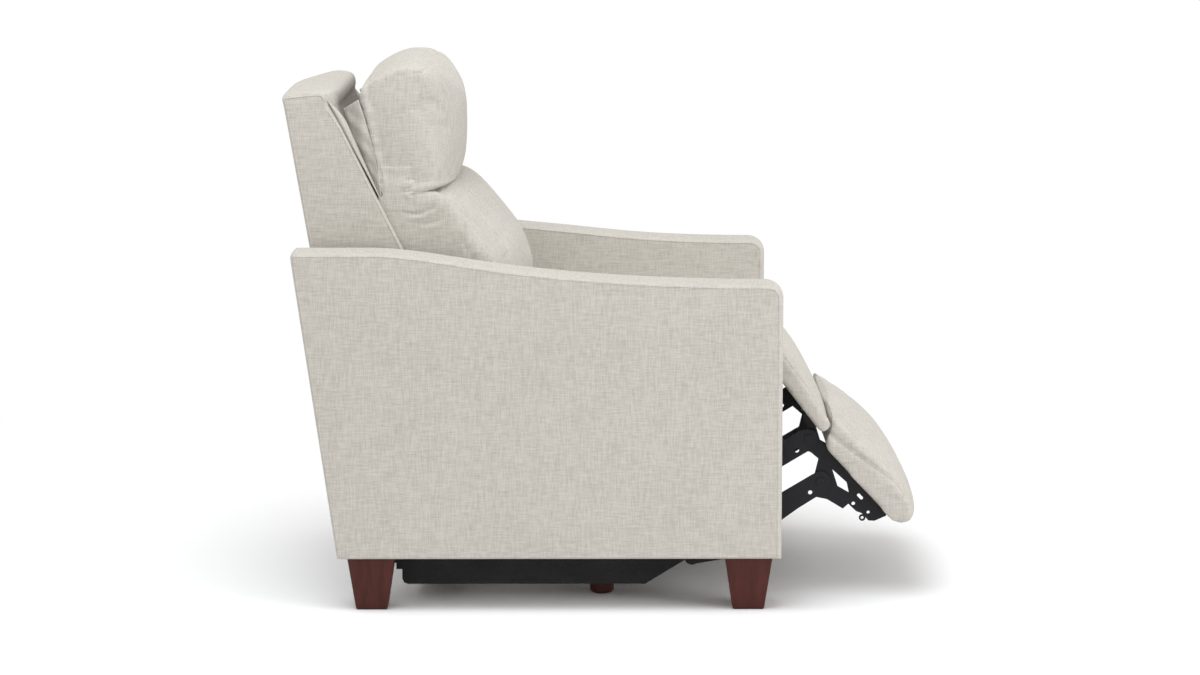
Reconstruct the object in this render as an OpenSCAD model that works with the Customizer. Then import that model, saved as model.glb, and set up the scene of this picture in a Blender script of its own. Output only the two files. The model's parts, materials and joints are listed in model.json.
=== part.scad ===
/* [Overall] */
// Width over both arms
overall_w = 780; // [760:1:840]
// Arm front face, ahead of the middle of the footprint
arm_front = 308; // [300:1:316]

/* [Arms] */
// Thickness of each padded arm
arm_t = 105; // [95:1:115]
// Height of the arm at its front
arm_front_h = 599; // [590:1:615]
// Height of the arm at its rear
arm_rear_h = 657; // [650:1:675]
// Underside of the arms above the floor
arm_bottom_z = 98.5; // [90:0.5:105]
// Depth of the arm along its lower edge
arm_bottom_l = 799; // [780:1:804]
// Depth of the arm along its top edge
arm_top_l = 877; // [870:1:884]
// Bulge of the padded front of each arm
arm_nose = 5; // [3:0.5:7]
// Radius of the arm's upper front corner
arm_corner_r = 24; // [10:1:32]
// Half-height of the eased long edges of the arm
arm_ease = 4; // [2:0.5:6]

/* [Legs] */
// Side of the wooden leg at its top
leg_top = 86; // [70:1:92]
// Side of the wooden leg at the floor
leg_foot = 57; // [45:1:66]
// Chamfer round the sole of the leg
leg_chamfer = 3; // [1:0.5:5]
// Front leg's centre behind the arm front
front_leg_x = 50; // [48:1:70]
// Rear leg's centre behind the arm front
rear_leg_x = 738; // [700:1:740]
// Diameter of the round support foot
support_d = 45; // [36:1:50]
// Support foot's distance behind the arm front
support_x = 317; // [310:1:324]
// Support foot's distance inwards from the arm
support_inset = 70; // [60:1:105]
// Diameter of the leg's hanger bolt
leg_bolt_d = 8; // [6:1:10]

/* [Base] */
// Thickness of the black side board
board_t = 18; // [15:1:20]
// Underside of the side boards above the floor
board_z = 30; // [28:1:34]
// Height of the side board
board_h = 95; // [85:1:100]
// Rear end of the side board behind the arm front
board_rear_x = 686; // [680:1:700]
// Front end of the side board's lower edge behind the arm front
board_front_x = 237; // [232:1:246]
// Depth of the middle cross rail
middle_rail_w = 45; // [40:1:48]
// Height of the middle cross rail
middle_rail_h = 20; // [18:1:21]
// Depth of the rear cross rail
rear_rail_w = 40; // [34:1:44]
// Height of the rear cross rail
rear_rail_h = 48; // [40:1:55]

/* [Steel linkage] */
// Thickness of every steel plate and link
steel_t = 4; // [3:0.5:4]
// Running gap between neighbouring plates
plate_gap = 0.5; // [0.4:0.1:0.6]
// Radius of the pivot pins
pin_r = 5; // [4:0.5:6]
// Radial running clearance of a pivot pin in its bore
pin_clear = 0.06; // [0.04:0.01:0.09]
// Radius of a rivet head
rivet_r = 8; // [7:0.5:9]
// Height of a rivet head
rivet_h = 2; // [1.5:0.5:2.5]
// Length of the seat's swing links between pivots
swing_l = 150; // [145:1:152]
// Backward lean of the swing links when the chair sits upright
swing_lean = 15; // [13:0.5:16]
// Height of the swing links' lower pivots
swing_z = 95; // [92:1:98]
// Front swing link's lower pivot behind the arm front
front_swing_x = 336; // [330:1:342]
// Rear swing link's lower pivot behind the arm front
rear_swing_x = 560; // [552:1:566]

/* [Footrest linkage] */
// Length of the footrest swing arms between pivots
arm_l = 258.8; // [255:0.2:262]
// Slope of the swing arms below the horizontal in the pose shown
arm_slope = 74.2; // [73:0.1:75]
// Length of the lower and upper footrest links between pivots
link_l = 277.5; // [273:0.5:281]
// Slope of the footrest links, the same in every pose
link_slope = 31; // [30.5:0.1:31.5]
// Footrest bracket's lower pivot ahead of the arm front
knee_x = 88; // [86:0.5:90]
// Footrest bracket's lower pivot above the floor
knee_z = 215; // [213:0.5:217]
// Distance between the bracket's two pivots
bracket_l = 84; // [80:0.5:87]
// Spacing of the front and rear swing arms along the seat
arm_gap_x = 60; // [57:0.5:62]
// Height of the front arm's pivots above the rear arm's
arm_gap_z = 10; // [8:0.5:12]
// Half-width of the swing arms
arm_half_w = 13; // [11.5:0.5:13.5]
// Half-width of the lower footrest link
lower_half_w = 19; // [17:0.5:20]
// Half-width of the upper footrest link
upper_half_w = 20; // [18:0.5:21]
// Length of the crank that the footrest drive pushes
crank_l = 60; // [56:0.5:62]
// Radius of the tube that turns both rear swing arms
drive_tube_r = 12; // [10:0.5:12.5]

/* [Footrest pads] */
// Slope of the main pad in the pose shown
pad_slope = 47; // [46:0.5:48]
// Upper back edge of the main pad ahead of the arm front
pad_x = 96; // [95:0.5:98]
// Upper back edge of the main pad above the floor
pad_z = 284; // [283:0.5:286]
// Length of the flat back of the main pad
pad_l = 212; // [205:1:216]
// Thickness of the main pad at its crown
pad_t = 79; // [74:1:82]
// Gap between the footrest pads and each arm
pad_side_gap = 13; // [9:1:20]
// Slope of the middle pad in the pose shown
mid_slope = 52.3; // [51.5:0.1:53]
// Length of the middle pad
mid_l = 198; // [190:1:202]
// Thickness of the middle pad at its crown
mid_t = 49; // [46:1:51]
// Thickness of the footrest's plywood
footboard_t = 12; // [9:1:14]

/* [Seat] */
// Gap between the seat cushion and each arm
seat_side_gap = 7; // [5:1:15]
// Crown of the seat cushion above the floor
seat_crown_z = 500; // [492:1:506]
// Front of the seat cushion behind the arm front
seat_front_x = 50; // [48:1:60]
// Rear of the seat cushion behind the arm front
seat_rear_x = 612; // [600:1:620]
// Thickness of the seat frame's timber
seat_frame_t = 16; // [14:1:18]
// Width of the seat frame's rails
seat_rail_w = 52; // [45:1:60]
// Number of wave springs across the seat
spring_count = 5; // [4:1:6]
// Wire diameter of the wave springs
spring_wire = 4; // [3:0.5:4.5]
// Height of the seat plates' top flange
seat_flange_z = 347; // [346.5:0.5:349]

/* [Back] */
// Gap between the upholstered back shell and each arm
shell_side_gap = 19; // [13:1:25]
// Height of the back shell
shell_top_z = 940; // [925:1:945]
// Radius of the shell's upper corners seen from behind
shell_corner_r = 26; // [20:1:50]
// Rear top edge of the shell behind the arm front
shell_rear_x = 900; // [894:1:906]
// Underside of the back shell
shell_bottom_z = 372; // [370:1:376]
// Back hinge behind the arm front
back_hinge_x = 655; // [650:1:660]
// Back hinge above the floor
back_hinge_z = 324; // [320:1:328]
// Length of the lever that the recline drive pulls
back_lever_l = 64; // [58:1:68]
// Gap between the back cushion and each arm
back_side_gap = 21; // [15:1:30]
// Headrest hinge behind the arm front
head_hinge_x = 722; // [718:1:726]
// Headrest hinge above the floor
head_hinge_z = 741; // [738:1:746]
// Length of the headrest lever
head_lever_l = 38; // [34:1:42]
// Height of the pillow's crown
pillow_top_z = 996; // [990:1:1010]

/* [Control panel] */
// Length of the control bezel on the inner side of the right arm
bezel_l = 136; // [130:1:150]
// Height of the control bezel
bezel_h = 42; // [38:1:48]
// Front of the control bezel behind the arm front
bezel_x = 120; // [100:1:150]
// Middle of the control bezel above the floor
bezel_z = 556; // [545:1:562]
// Diameter of the buttons
button_d = 13; // [11:0.5:14]
// Spacing of the button columns
button_pitch = 30; // [27:1:32]
// Clearance round a button
button_clear = 0.4; // [0.3:0.1:0.6]

/* [Hidden] */
$fn = 48;

// Which side of the chair a piece is on, as a factor on Y
RIGHT = -1;
LEFT = 1;
// Small overreach that lets a cut pass cleanly through a face
over = 1;
// Gap that keeps soft solids just clear of what they rest on
seat_gap = 0.3;

// Colours
fabric_colour = [0.80, 0.77, 0.71];
wood_colour = [0.33, 0.16, 0.12];
black_colour = [0.07, 0.07, 0.08];
steel_colour = [0.12, 0.12, 0.13];
timber_colour = [0.72, 0.58, 0.40];
wire_colour = [0.45, 0.46, 0.48];
button_colour = [0.62, 0.63, 0.65];

// Distances of the plate layers from the middle plane, outermost first
arm_inner = overall_w / 2 - arm_t;
layer_step = steel_t + plate_gap;
board_in = arm_inner - board_t;
rail_out = board_in;
rail_in = rail_out - steel_t;
swing_out = rail_in - plate_gap;
plate_out = swing_out - layer_step;
arm_out = plate_out - layer_step;
link_out = arm_out - layer_step;
bracket_out = link_out - layer_step;
mid_out = bracket_out - layer_step;
mid_in = mid_out - steel_t;

// Widths that fill the room between the arms
seat_w = 2 * (arm_inner - seat_side_gap);
pad_w = 2 * (arm_inner - pad_side_gap);
shell_w = 2 * (arm_inner - shell_side_gap);
back_w = 2 * (arm_inner - back_side_gap);
support_y = arm_inner - support_inset;

// Side view points are [ahead of the arm front, above the floor]
function polar(r, a) = [r * cos(a), r * sin(a)];
function turn(p, a) = [p[0] * cos(a) - p[1] * sin(a), p[0] * sin(a) + p[1] * cos(a)];
function mix(a, b, t) = a + (b - a) * t;

// A cubic curve through two ends with two handles, as n + 1 points
function bezier(a, b, c, d, n) = [
    for (i = [0:n])
        let (t = i / n, s = 1 - t)
            a * s * s * s + b * 3 * s * s * t + c * 3 * s * t * t + d * t * t * t
];

// A point on the smooth stretch from b to c, between its neighbours a and d
function between(a, b, c, d, t) =
    0.5 * (2 * b + (c - a) * t + (2 * a - 5 * b + 4 * c - d) * t * t
        + (3 * b - 3 * c + d - a) * t * t * t);

// A closed smooth curve through the given points, n points for each stretch
function closed_curve(p, n) = [
    for (i = [0:len(p) - 1], k = [0:n - 1])
        let (m = len(p))
            between(p[(i + m - 1) % m], p[i], p[(i + 1) % m], p[(i + 2) % m], k / n)
];

// The same from the first point to the last, which a flat underside then joins
function flat_based_curve(p, n) = [
    for (i = [0:len(p) - 2], k = [0:i == len(p) - 2 ? n : n - 1])
        between(p[max(i - 1, 0)], p[i], p[i + 1], p[min(i + 2, len(p) - 1)], k / n)
];

// Footrest linkage pivots in the pose shown
knee = [knee_x, knee_z];
arm_dir = polar(1, -arm_slope);
link_dir = polar(1, link_slope);
lower_rear = knee - link_l * link_dir;
upper_front = knee - bracket_l * arm_dir;
upper_rear = lower_rear - bracket_l * arm_dir;
arm_pivot = lower_rear - arm_l * arm_dir;
arm_gap = [arm_gap_x, arm_gap_z];
front_arm_pivot = arm_pivot + arm_gap;
front_arm_foot = lower_rear + arm_gap;
pad_corner = [pad_x, pad_z];
pad_dir = polar(1, -pad_slope);
pad_up = polar(1, 90 - pad_slope);
mid_pivot = pad_corner - 11 * pad_dir - 13 * pad_up;
mid_corner = pad_corner + [-12, 28];
mid_dir = polar(1, 180 - mid_slope);
mid_up = polar(1, 90 - mid_slope);
crank_pin = arm_pivot + polar(crank_l, -92);

// Seat swing pivots in the pose shown
front_swing_foot = [-front_swing_x, swing_z];
rear_swing_foot = [-rear_swing_x, swing_z];
swing_reach = polar(swing_l, 90 + swing_lean);
front_swing_head = front_swing_foot + swing_reach;
rear_swing_head = rear_swing_foot + swing_reach;
back_hinge = [-back_hinge_x, back_hinge_z];
back_lever_pin = back_hinge + polar(back_lever_l, -103);
head_hinge = [-head_hinge_x, head_hinge_z];
head_lever_pin = head_hinge - [head_lever_l, 0];
seat_frame_z = seat_flange_z + steel_t;
cushion_z = seat_frame_z + seat_frame_t;
tube_r = 11;
front_tube = [-302, seat_flange_z - tube_r - 20];
rear_tube = [-540, seat_flange_z - tube_r - 20];

// Everything is drawn from the arm front and then put in place
module chair() {
    translate([arm_front, 0, 0]) children();
}

// A side view outline made solid between two distances from the middle plane
module slab(side, near, far) {
    translate([0, side > 0 ? far : -near, 0])
        rotate([90, 0, 0])
            linear_extrude(far - near)
                children();
}

// A side view outline made solid across the middle of the chair
module across(width) {
    translate([0, width / 2, 0])
        rotate([90, 0, 0])
            linear_extrude(width)
                children();
}

// A flat bar with round ends from one point to another
module bar(a, b, r) {
    d = b - a;
    u = d / norm(d);
    n = [-u[1], u[0]] * r;
    translate(a) circle(r);
    translate(b) circle(r);
    polygon([a + n, a - n, b - n, b + n]);
}

// A pin or bore across a layer, at a side view point
module peg(side, p, r, near, far) {
    translate([p[0], side > 0 ? far : -near, p[1]])
        rotate([90, 0, 0])
            cylinder(r = r, h = far - near);
}

module bore(side, p, near, far) {
    peg(side, p, pin_r + pin_clear, near - over, far + over);
}

// Twice the area inside an outline, positive where it runs anticlockwise
function doubled_area(p) =
    let (parts = [for (i = [0:len(p) - 1]) cross(p[i], p[(i + 1) % len(p)])])
        parts * [for (part = parts) 1];

function anticlockwise(p) =
    doubled_area(p) > 0 ? p : [for (i = [len(p) - 1:-1:0]) p[i]];

// A padded form lofted between its side outline and its fuller middle outline
module padded_form(middle_outline, side_outline, width, rings) {
    middle = anticlockwise(middle_outline);
    side = anticlockwise(side_outline);
    n = len(middle);
    m = 2 * rings;
    layers = [
        for (j = [0:m])
            let (
                t = sin(90 * (j / rings - 1)),
                full = sqrt(max(0, 1 - pow(abs(t), 3.2)))
            )
                [for (i = [0:n - 1])
                    let (p = mix(side[i], middle[i], full))
                        [p[0], t * width / 2, p[1]]]
    ];
    points = [for (ring = layers, p = ring) p];
    walls = [
        for (j = [0:m - 1], i = [0:n - 1], k = [0:1])
            let (
                a = j * n + i,
                b = j * n + (i + 1) % n,
                c = a + n,
                d = b + n
            )
                k == 0 ? [a, b, d] : [a, d, c]
    ];
    caps = [
        [for (i = [n - 1:-1:0]) i],
        [for (i = [0:n - 1]) m * n + i]
    ];
    polyhedron(points, concat(walls, caps));
}

// Arms: a swept top line, a raked rear edge and eased long edges
module arm_outline(inset) {
    front_top = [arm_nose - inset, arm_front_h - inset];
    top_line = bezier(
        [-arm_top_l + 137, arm_rear_h - inset],
        [-arm_top_l + 277, arm_rear_h - inset],
        [-500, arm_front_h + 3 - inset],
        [arm_nose - arm_corner_r, arm_front_h - inset],
        20
    );
    corner = [
        for (a = [80:-20:0])
            front_top - [arm_corner_r, arm_corner_r] + polar(arm_corner_r, a)
    ];
    polygon(concat(
        [
            [-arm_bottom_l + inset, arm_bottom_z],
            [-arm_top_l + inset, arm_rear_h - 8],
            [-arm_top_l + 10 + inset, arm_rear_h - inset]
        ],
        top_line,
        corner,
        [[arm_nose - inset, arm_bottom_z]]
    ));
}

module arm_body(side) {
    outer = overall_w / 2;
    slab(side, arm_inner + arm_ease, outer - arm_ease) arm_outline(0);
    slab(side, arm_inner, outer) arm_outline(arm_ease / 2);
}

module leg_bolt_hole(side, x) {
    translate([x, side * leg_y, arm_bottom_z - over])
        cylinder(d = leg_bolt_d + 0.4, h = leg_bolt_up + over);
}

leg_y = overall_w / 2 - arm_t / 2;
leg_bolt_up = 40;
leg_bolt_down = 30;

module right_arm() {
    chair() color(fabric_colour) difference() {
        arm_body(RIGHT);
        leg_bolt_hole(RIGHT, -front_leg_x);
        leg_bolt_hole(RIGHT, -rear_leg_x);
        translate([-bezel_x - bezel_l, -arm_inner - bezel_pocket, bezel_z - bezel_h / 2])
            cube([bezel_l, bezel_pocket + over, bezel_h]);
    }
}

module left_arm() {
    chair() color(fabric_colour) difference() {
        arm_body(LEFT);
        leg_bolt_hole(LEFT, -front_leg_x);
        leg_bolt_hole(LEFT, -rear_leg_x);
    }
}

// Legs: square wooden tapers with a chamfered sole
module square_frustum(a, b, h) {
    linear_extrude(h, scale = b / a) square(a, center = true);
}

module leg(side, x) {
    chair() color(wood_colour) translate([x, side * leg_y, 0]) difference() {
        union() {
            translate([0, 0, leg_chamfer])
                square_frustum(leg_foot, leg_top, arm_bottom_z - leg_chamfer);
            square_frustum(leg_foot - 2 * leg_chamfer, leg_foot, leg_chamfer);
        }
        translate([0, 0, arm_bottom_z - leg_bolt_down])
            cylinder(d = leg_bolt_d + 0.4, h = leg_bolt_down + over);
    }
}

module front_right_leg() {
    leg(RIGHT, -front_leg_x);
}

module front_left_leg() {
    leg(LEFT, -front_leg_x);
}

module rear_right_leg() {
    leg(RIGHT, -rear_leg_x);
}

module rear_left_leg() {
    leg(LEFT, -rear_leg_x);
}

// Hanger bolts that hold the four legs, each from leg to arm
module leg_bolts() {
    chair() color(wire_colour)
        for (side = [RIGHT, LEFT], x = [-front_leg_x, -rear_leg_x])
            translate([x, side * leg_y, arm_bottom_z - leg_bolt_down])
                cylinder(d = leg_bolt_d, h = leg_bolt_down + leg_bolt_up);
}

// Turned feet under the middle cross rail
module support_foot(side) {
    chair() color(wood_colour) translate([-support_x, side * support_y, 0])
        rotate_extrude()
            polygon([
                [0, 0],
                [support_d / 2 - 4, 0],
                [support_d / 2, 5],
                [support_d / 2, board_z - 4],
                [support_d / 2 - 3, board_z],
                [0, board_z]
            ]);
}

module right_support_foot() {
    support_foot(RIGHT);
}

module left_support_foot() {
    support_foot(LEFT);
}

// Black side boards that hold the mechanism to the arms
module board_outline() {
    top = board_z + board_h;
    rise = board_h / tan(31.6);
    polygon([
        [-board_rear_x - 22, top],
        [-board_rear_x - 22, board_z + 40],
        [-board_rear_x - 11, board_z + 40],
        [-board_rear_x - 11, board_z + 28],
        [-board_rear_x, board_z + 28],
        [-board_rear_x, board_z + 10],
        [-board_rear_x + 3, board_z + 3],
        [-board_rear_x + 10, board_z],
        [-board_front_x, board_z],
        [-board_front_x + rise, top]
    ]);
}

module base_board(side) {
    chair() color(black_colour) difference() {
        slab(side, board_in, arm_inner) board_outline();
        for (x = [-rear_leg_x + 80, -front_leg_x - 150])
            peg(side, [x, board_z + board_h - 22], 4.2, board_in - over, arm_inner + over);
    }
}

module right_base_board() {
    base_board(RIGHT);
}

module left_base_board() {
    base_board(LEFT);
}

// Steel rails on the side boards, with the lower pins of the swing links
module base_rail(side) {
    chair() color(steel_colour) {
        slab(side, rail_in, rail_out) difference() {
            union() {
                bar([-rear_swing_x - 50, swing_z], [-front_swing_x + 40, swing_z], 17);
                translate([-rear_swing_x - 50, board_z + 6])
                    square([rear_swing_x - front_swing_x + 90, 30]);
            }
            for (x = [-rear_swing_x + 70 : 46 : -front_swing_x - 60])
                bar([x, swing_z - 12], [x + 16, swing_z - 12], 6);
        }
        for (p = [front_swing_foot, rear_swing_foot]) {
            peg(side, p, pin_r, swing_out - steel_t - 0.3, rail_in);
        }
    }
}

module right_base_rail() {
    base_rail(RIGHT);
}

module left_base_rail() {
    base_rail(LEFT);
}

// Timber cross rails between the side boards
module middle_cross_rail() {
    chair() color(black_colour)
        translate([-support_x - middle_rail_w / 2, -rail_in + seat_gap, board_z])
            cube([middle_rail_w, 2 * (rail_in - seat_gap), middle_rail_h]);
}

module rear_cross_rail() {
    chair() color(black_colour)
        translate([-board_rear_x + 12, -board_in, board_z])
            cube([rear_rail_w, 2 * board_in, rear_rail_h]);
}

// Power supply on the left rail, with an inlet for its mains lead
supply_l = 130;
supply_w = 56;
supply_h = 40;
supply_x = -board_rear_x + 12 + rear_rail_w;
supply_z = board_z + 2;
supply_y = 60;
inlet_w = 24;
inlet_h = 17;

module power_supply() {
    chair() color(black_colour) difference() {
        translate([supply_x, supply_y, supply_z]) cube([supply_l, supply_w, supply_h]);
        translate([supply_x + supply_l - 14, supply_y + supply_w / 2 - inlet_w / 2, supply_z + 12])
            cube([14 + over, inlet_w, inlet_h]);
        for (x = [supply_x + 24 : 12 : supply_x + supply_l - 30])
            translate([x, supply_y + 8, supply_z + supply_h - 2])
                cube([4, supply_w - 16, 2 + over]);
    }
}

module power_inlet() {
    chair() color(steel_colour)
        translate([supply_x + supply_l - 14, supply_y + supply_w / 2, supply_z + 12 + inlet_h / 2])
            rotate([0, 90, 0]) {
                linear_extrude(13) difference() {
                    square([inlet_h, inlet_w], center = true);
                    square([inlet_h - 4, inlet_w - 4], center = true);
                }
                linear_extrude(3) square([inlet_h - 2, inlet_w - 2], center = true);
                for (y = [-4, 4])
                    translate([0, y, 2]) cylinder(d = 2.4, h = 9);
            }
}

// Control panel on the inner side of the right arm
bezel_pocket = 16;
bezel_t = 3;
button_travel = 2;
button_proud = 3;
button_depth = 8;
home_x = -bezel_x - bezel_l + 18;

function button_place(column, row) = [
    -bezel_x - 24 - column * button_pitch,
    bezel_z + row * (button_d / 2 + 2)
];

module control_bezel() {
    spots = [for (c = [0:2], r = [-1, 1]) button_place(c, r)];
    holes = concat(spots, [[home_x, bezel_z]]);
    chair() color(black_colour) difference() {
        union() {
            translate([-bezel_x - bezel_l + seat_gap, -arm_inner - bezel_pocket + seat_gap,
                       bezel_z - bezel_h / 2 + seat_gap])
                cube([bezel_l - 2 * seat_gap, bezel_pocket - seat_gap, bezel_h - 2 * seat_gap]);
            translate([-bezel_x - bezel_l - 3, -arm_inner, bezel_z - bezel_h / 2 - 3])
                cube([bezel_l + 6, bezel_t, bezel_h + 6]);
        }
        for (p = holes)
            peg(RIGHT, p, button_d / 2 + button_clear, arm_inner - bezel_t - over,
                arm_inner + button_depth + button_travel);
    }
}

module button(p, cap) {
    chair() color(button_colour) {
        peg(RIGHT, p, button_d / 2, arm_inner - bezel_t - button_proud + 1,
            arm_inner + button_depth - button_clear);
        peg(RIGHT, p, button_d / 2 - cap, arm_inner - bezel_t - button_proud,
            arm_inner - bezel_t);
    }
}

module footrest_out_button() {
    button(button_place(0, 1), 1);
}

module footrest_in_button() {
    button(button_place(0, -1), 1);
}

module recline_back_button() {
    button(button_place(1, 1), 1);
}

module recline_up_button() {
    button(button_place(1, -1), 1);
}

module headrest_forward_button() {
    button(button_place(2, 1), 1);
}

module headrest_back_button() {
    button(button_place(2, -1), 1);
}

module home_button() {
    button([home_x, bezel_z], 2);
}

// Swing links: plates from the base rails up to the seat plates
module swing_link(side, foot) {
    head = foot + swing_reach;
    chair() color(steel_colour) {
        difference() {
            slab(side, swing_out - steel_t, swing_out) difference() {
                union() {
                    bar(foot, head, 14);
                    translate(foot) circle(17);
                    translate(head) circle(17);
                }
                translate(mix(foot, head, 0.5)) circle(6);
            }
            bore(side, foot, swing_out - steel_t, swing_out);
        }
        peg(side, head, pin_r, plate_out - steel_t - 0.3, swing_out - steel_t);
    }
}

module right_front_swing_link() {
    swing_link(RIGHT, front_swing_foot);
}

module left_front_swing_link() {
    swing_link(LEFT, front_swing_foot);
}

module right_rear_swing_link() {
    swing_link(RIGHT, rear_swing_foot);
}

module left_rear_swing_link() {
    swing_link(LEFT, rear_swing_foot);
}

// Seat plates: long side plates with a flange under the seat frame
module seat_plate_outline() {
    front = front_arm_pivot;
    difference() {
        union() {
            polygon([
                back_hinge + [0, 18],
                [back_hinge[0] + 30, seat_frame_z],
                [front[0] - 14, seat_frame_z],
                front + [4, 12],
                front + [4, -12],
                arm_pivot + [26, -30],
                front_swing_head + [10, -12],
                front_swing_head + [-10, -12],
                front_swing_head + [-52, 16],
                rear_swing_head + [52, 16],
                rear_swing_head + [10, -12],
                rear_swing_head + [-10, -12],
                back_hinge + [-12, -8]
            ]);
            translate(front) circle(17);
            translate(front_swing_head) circle(22);
            translate(rear_swing_head) circle(22);
            translate(back_hinge) circle(24);
        }
        bar([-525, 290], [-440, 290], 10);
        for (x = [-600 : 60 : -260])
            translate([x, seat_flange_z - 14]) circle(4.2);
    }
}

module seat_plate(side) {
    near = plate_out - steel_t;
    flange_w = 34;
    chair() color(steel_colour) {
        difference() {
            union() {
                slab(side, near, plate_out) seat_plate_outline();
                slab(side, near - flange_w, near + 1)
                    translate([-590, seat_flange_z])
                        square([590 + front_arm_pivot[0] - 20, steel_t]);
            }
            for (p = [front_swing_head, rear_swing_head])
                bore(side, p, near, plate_out);
            for (x = [-560, -220])
                translate([x, side * (near - 18), seat_flange_z - over])
                    cylinder(d = 8.4, h = steel_t + 2 * over);
        }
        for (p = [arm_pivot, front_arm_pivot, back_hinge])
            peg(side, p, pin_r, arm_out - steel_t - 0.3, near + 1);
    }
}

module right_seat_plate() {
    seat_plate(RIGHT);
}

module left_seat_plate() {
    seat_plate(LEFT);
}

// Timber frame on the plates' flanges, open in the middle for the springs
frame_front = -92;
frame_rear = -608;
frame_half_w = plate_out - steel_t - 2;

module seat_frame() {
    chair() color(timber_colour) difference() {
        translate([frame_rear, -frame_half_w, seat_frame_z])
            cube([frame_front - frame_rear, 2 * frame_half_w, seat_frame_t]);
        translate([frame_rear + seat_rail_w, -frame_half_w + seat_rail_w, seat_frame_z - over])
            cube([
                frame_front - frame_rear - 2 * seat_rail_w,
                2 * (frame_half_w - seat_rail_w),
                seat_frame_t + 2 * over
            ]);
        for (side = [RIGHT, LEFT], x = [-560, -220])
            translate([x, side * (plate_out - steel_t - 18), seat_frame_z - over])
                cylinder(d = 8.4, h = seat_frame_t + 2 * over);
    }
}

// Wave springs from the front rail to the rear rail of the seat frame
module wave_spring() {
    r = 14;
    l = frame_front - frame_rear - 2 * seat_rail_w;
    turns = floor(l / (2 * r));
    start = -turns * r;
    for (i = [0 : turns - 1])
        translate([start + (2 * i + 1) * r, (i % 2 == 0 ? 1 : -1) * r])
            difference() {
                circle(r + spring_wire / 2);
                circle(r - spring_wire / 2);
                translate([-2 * r, i % 2 == 0 ? -2 * r : 0]) square([4 * r, 2 * r]);
            }
    for (i = [0 : turns])
        translate([start + 2 * i * r - spring_wire / 2, -r])
            square([spring_wire, 2 * r]);
    for (s = [-1, 1])
        translate([s > 0 ? -start : -l / 2, -spring_wire / 2])
            square([l / 2 + start, spring_wire]);
}

module seat_springs() {
    pitch = 2 * (frame_half_w - seat_rail_w) / spring_count;
    chair() color(wire_colour)
        for (i = [0 : spring_count - 1])
            translate([
                (frame_front + frame_rear) / 2,
                (i - (spring_count - 1) / 2) * pitch,
                seat_frame_z + seat_frame_t - 2 * spring_wire
            ])
                linear_extrude(spring_wire) wave_spring();
}

// Seat cushion: crowned, with a rolled front edge
module seat_cushion() {
    front = -seat_front_x;
    rear = -seat_rear_x;
    low = cushion_z + seat_gap;
    top = seat_crown_z;
    middle = flat_based_curve([
        [rear + 6, low], [rear, low + 50], [rear + 14, top - 26], [rear + 120, top - 10],
        [-300, top - 3], [front - 110, top], [front - 40, top - 3], [front - 8, top - 28],
        [front, top - 70], [front - 6, low + 12], [front - 24, low]
    ], 4);
    side = flat_based_curve([
        [rear + 10, low], [rear + 4, low + 46], [rear + 16, top - 48], [rear + 120, top - 34],
        [-300, top - 30], [front - 110, top - 27], [front - 44, top - 30], [front - 14, top - 48],
        [front - 6, top - 78], [front - 10, low + 12], [front - 26, low]
    ], 4);
    chair() color(fabric_colour) padded_form(middle, side, seat_w, 7);
}

// Cross tubes that join the two seat plates and carry the drives
module seat_cross_tubes() {
    half = plate_out - steel_t;
    chair() color(steel_colour) {
        for (p = [front_tube, rear_tube])
            difference() {
                peg(LEFT, p, tube_r, -half, half);
                peg(LEFT, p, tube_r - 2, -half - over, half + over);
            }
        for (y = [drive_y - 14, drive_y + 10])
            slab(LEFT, y, y + steel_t)
                drive_lug(rear_tube, footrest_drive_tail);
        for (y = [-drive_y - 14, -drive_y + 10])
            slab(LEFT, y, y + steel_t)
                drive_lug(front_tube, recline_drive_tail);
    }
}

// Lug with a pin hole that hangs below a cross tube
module drive_lug(tube, eye) {
    difference() {
        bar(tube - [0, tube_r + 4], eye, 9);
        translate(eye) circle(4.1);
        translate(tube) circle(tube_r - 0.2);
    }
}

// Linear drives: a motor, a gearbox and a guide, with a rod that slides
drive_y = -90;
drive_r = 14;
rod_r = 8;
footrest_drive_tail = [-520, crank_pin[1]];
recline_drive_tail = [-322, back_lever_pin[1]];
footrest_drive_head = [-310, crank_pin[1]];
recline_drive_head = [-560, back_lever_pin[1]];

module drive_body(tail, head, y) {
    way = head[0] > tail[0] ? 1 : -1;
    z = tail[1];
    translate([tail[0], y, z]) {
        difference() {
            union() {
                rotate([90, 0, 0]) cylinder(r = 9, h = 18, center = true);
                translate([way * 26, 0, 0]) cube([44, 19, 18], center = true);
                translate([way * 62, 0, 0]) cube([44, 40, 44], center = true);
                translate([way * 60, 0, -22])
                    rotate([180, 0, 0]) cylinder(r = 20, h = 74);
                translate([way * 80, 0, 0])
                    rotate([0, 90 * way, 0])
                        cylinder(r = drive_r, h = abs(head[0] - tail[0]) - 80);
            }
            rotate([90, 0, 0]) cylinder(r = 4.1, h = 60, center = true);
            translate([way * 84, 0, 0])
                rotate([0, 90 * way, 0])
                    cylinder(r = rod_r + 0.4, h = abs(head[0] - tail[0]));
        }
        rotate([90, 0, 0]) cylinder(r = 4, h = 32, center = true);
    }
}

module footrest_actuator() {
    chair() color(black_colour)
        drive_body(footrest_drive_tail, footrest_drive_head, drive_y);
}

module recline_actuator() {
    chair() color(black_colour)
        drive_body(recline_drive_tail, recline_drive_head, -drive_y);
}

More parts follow.
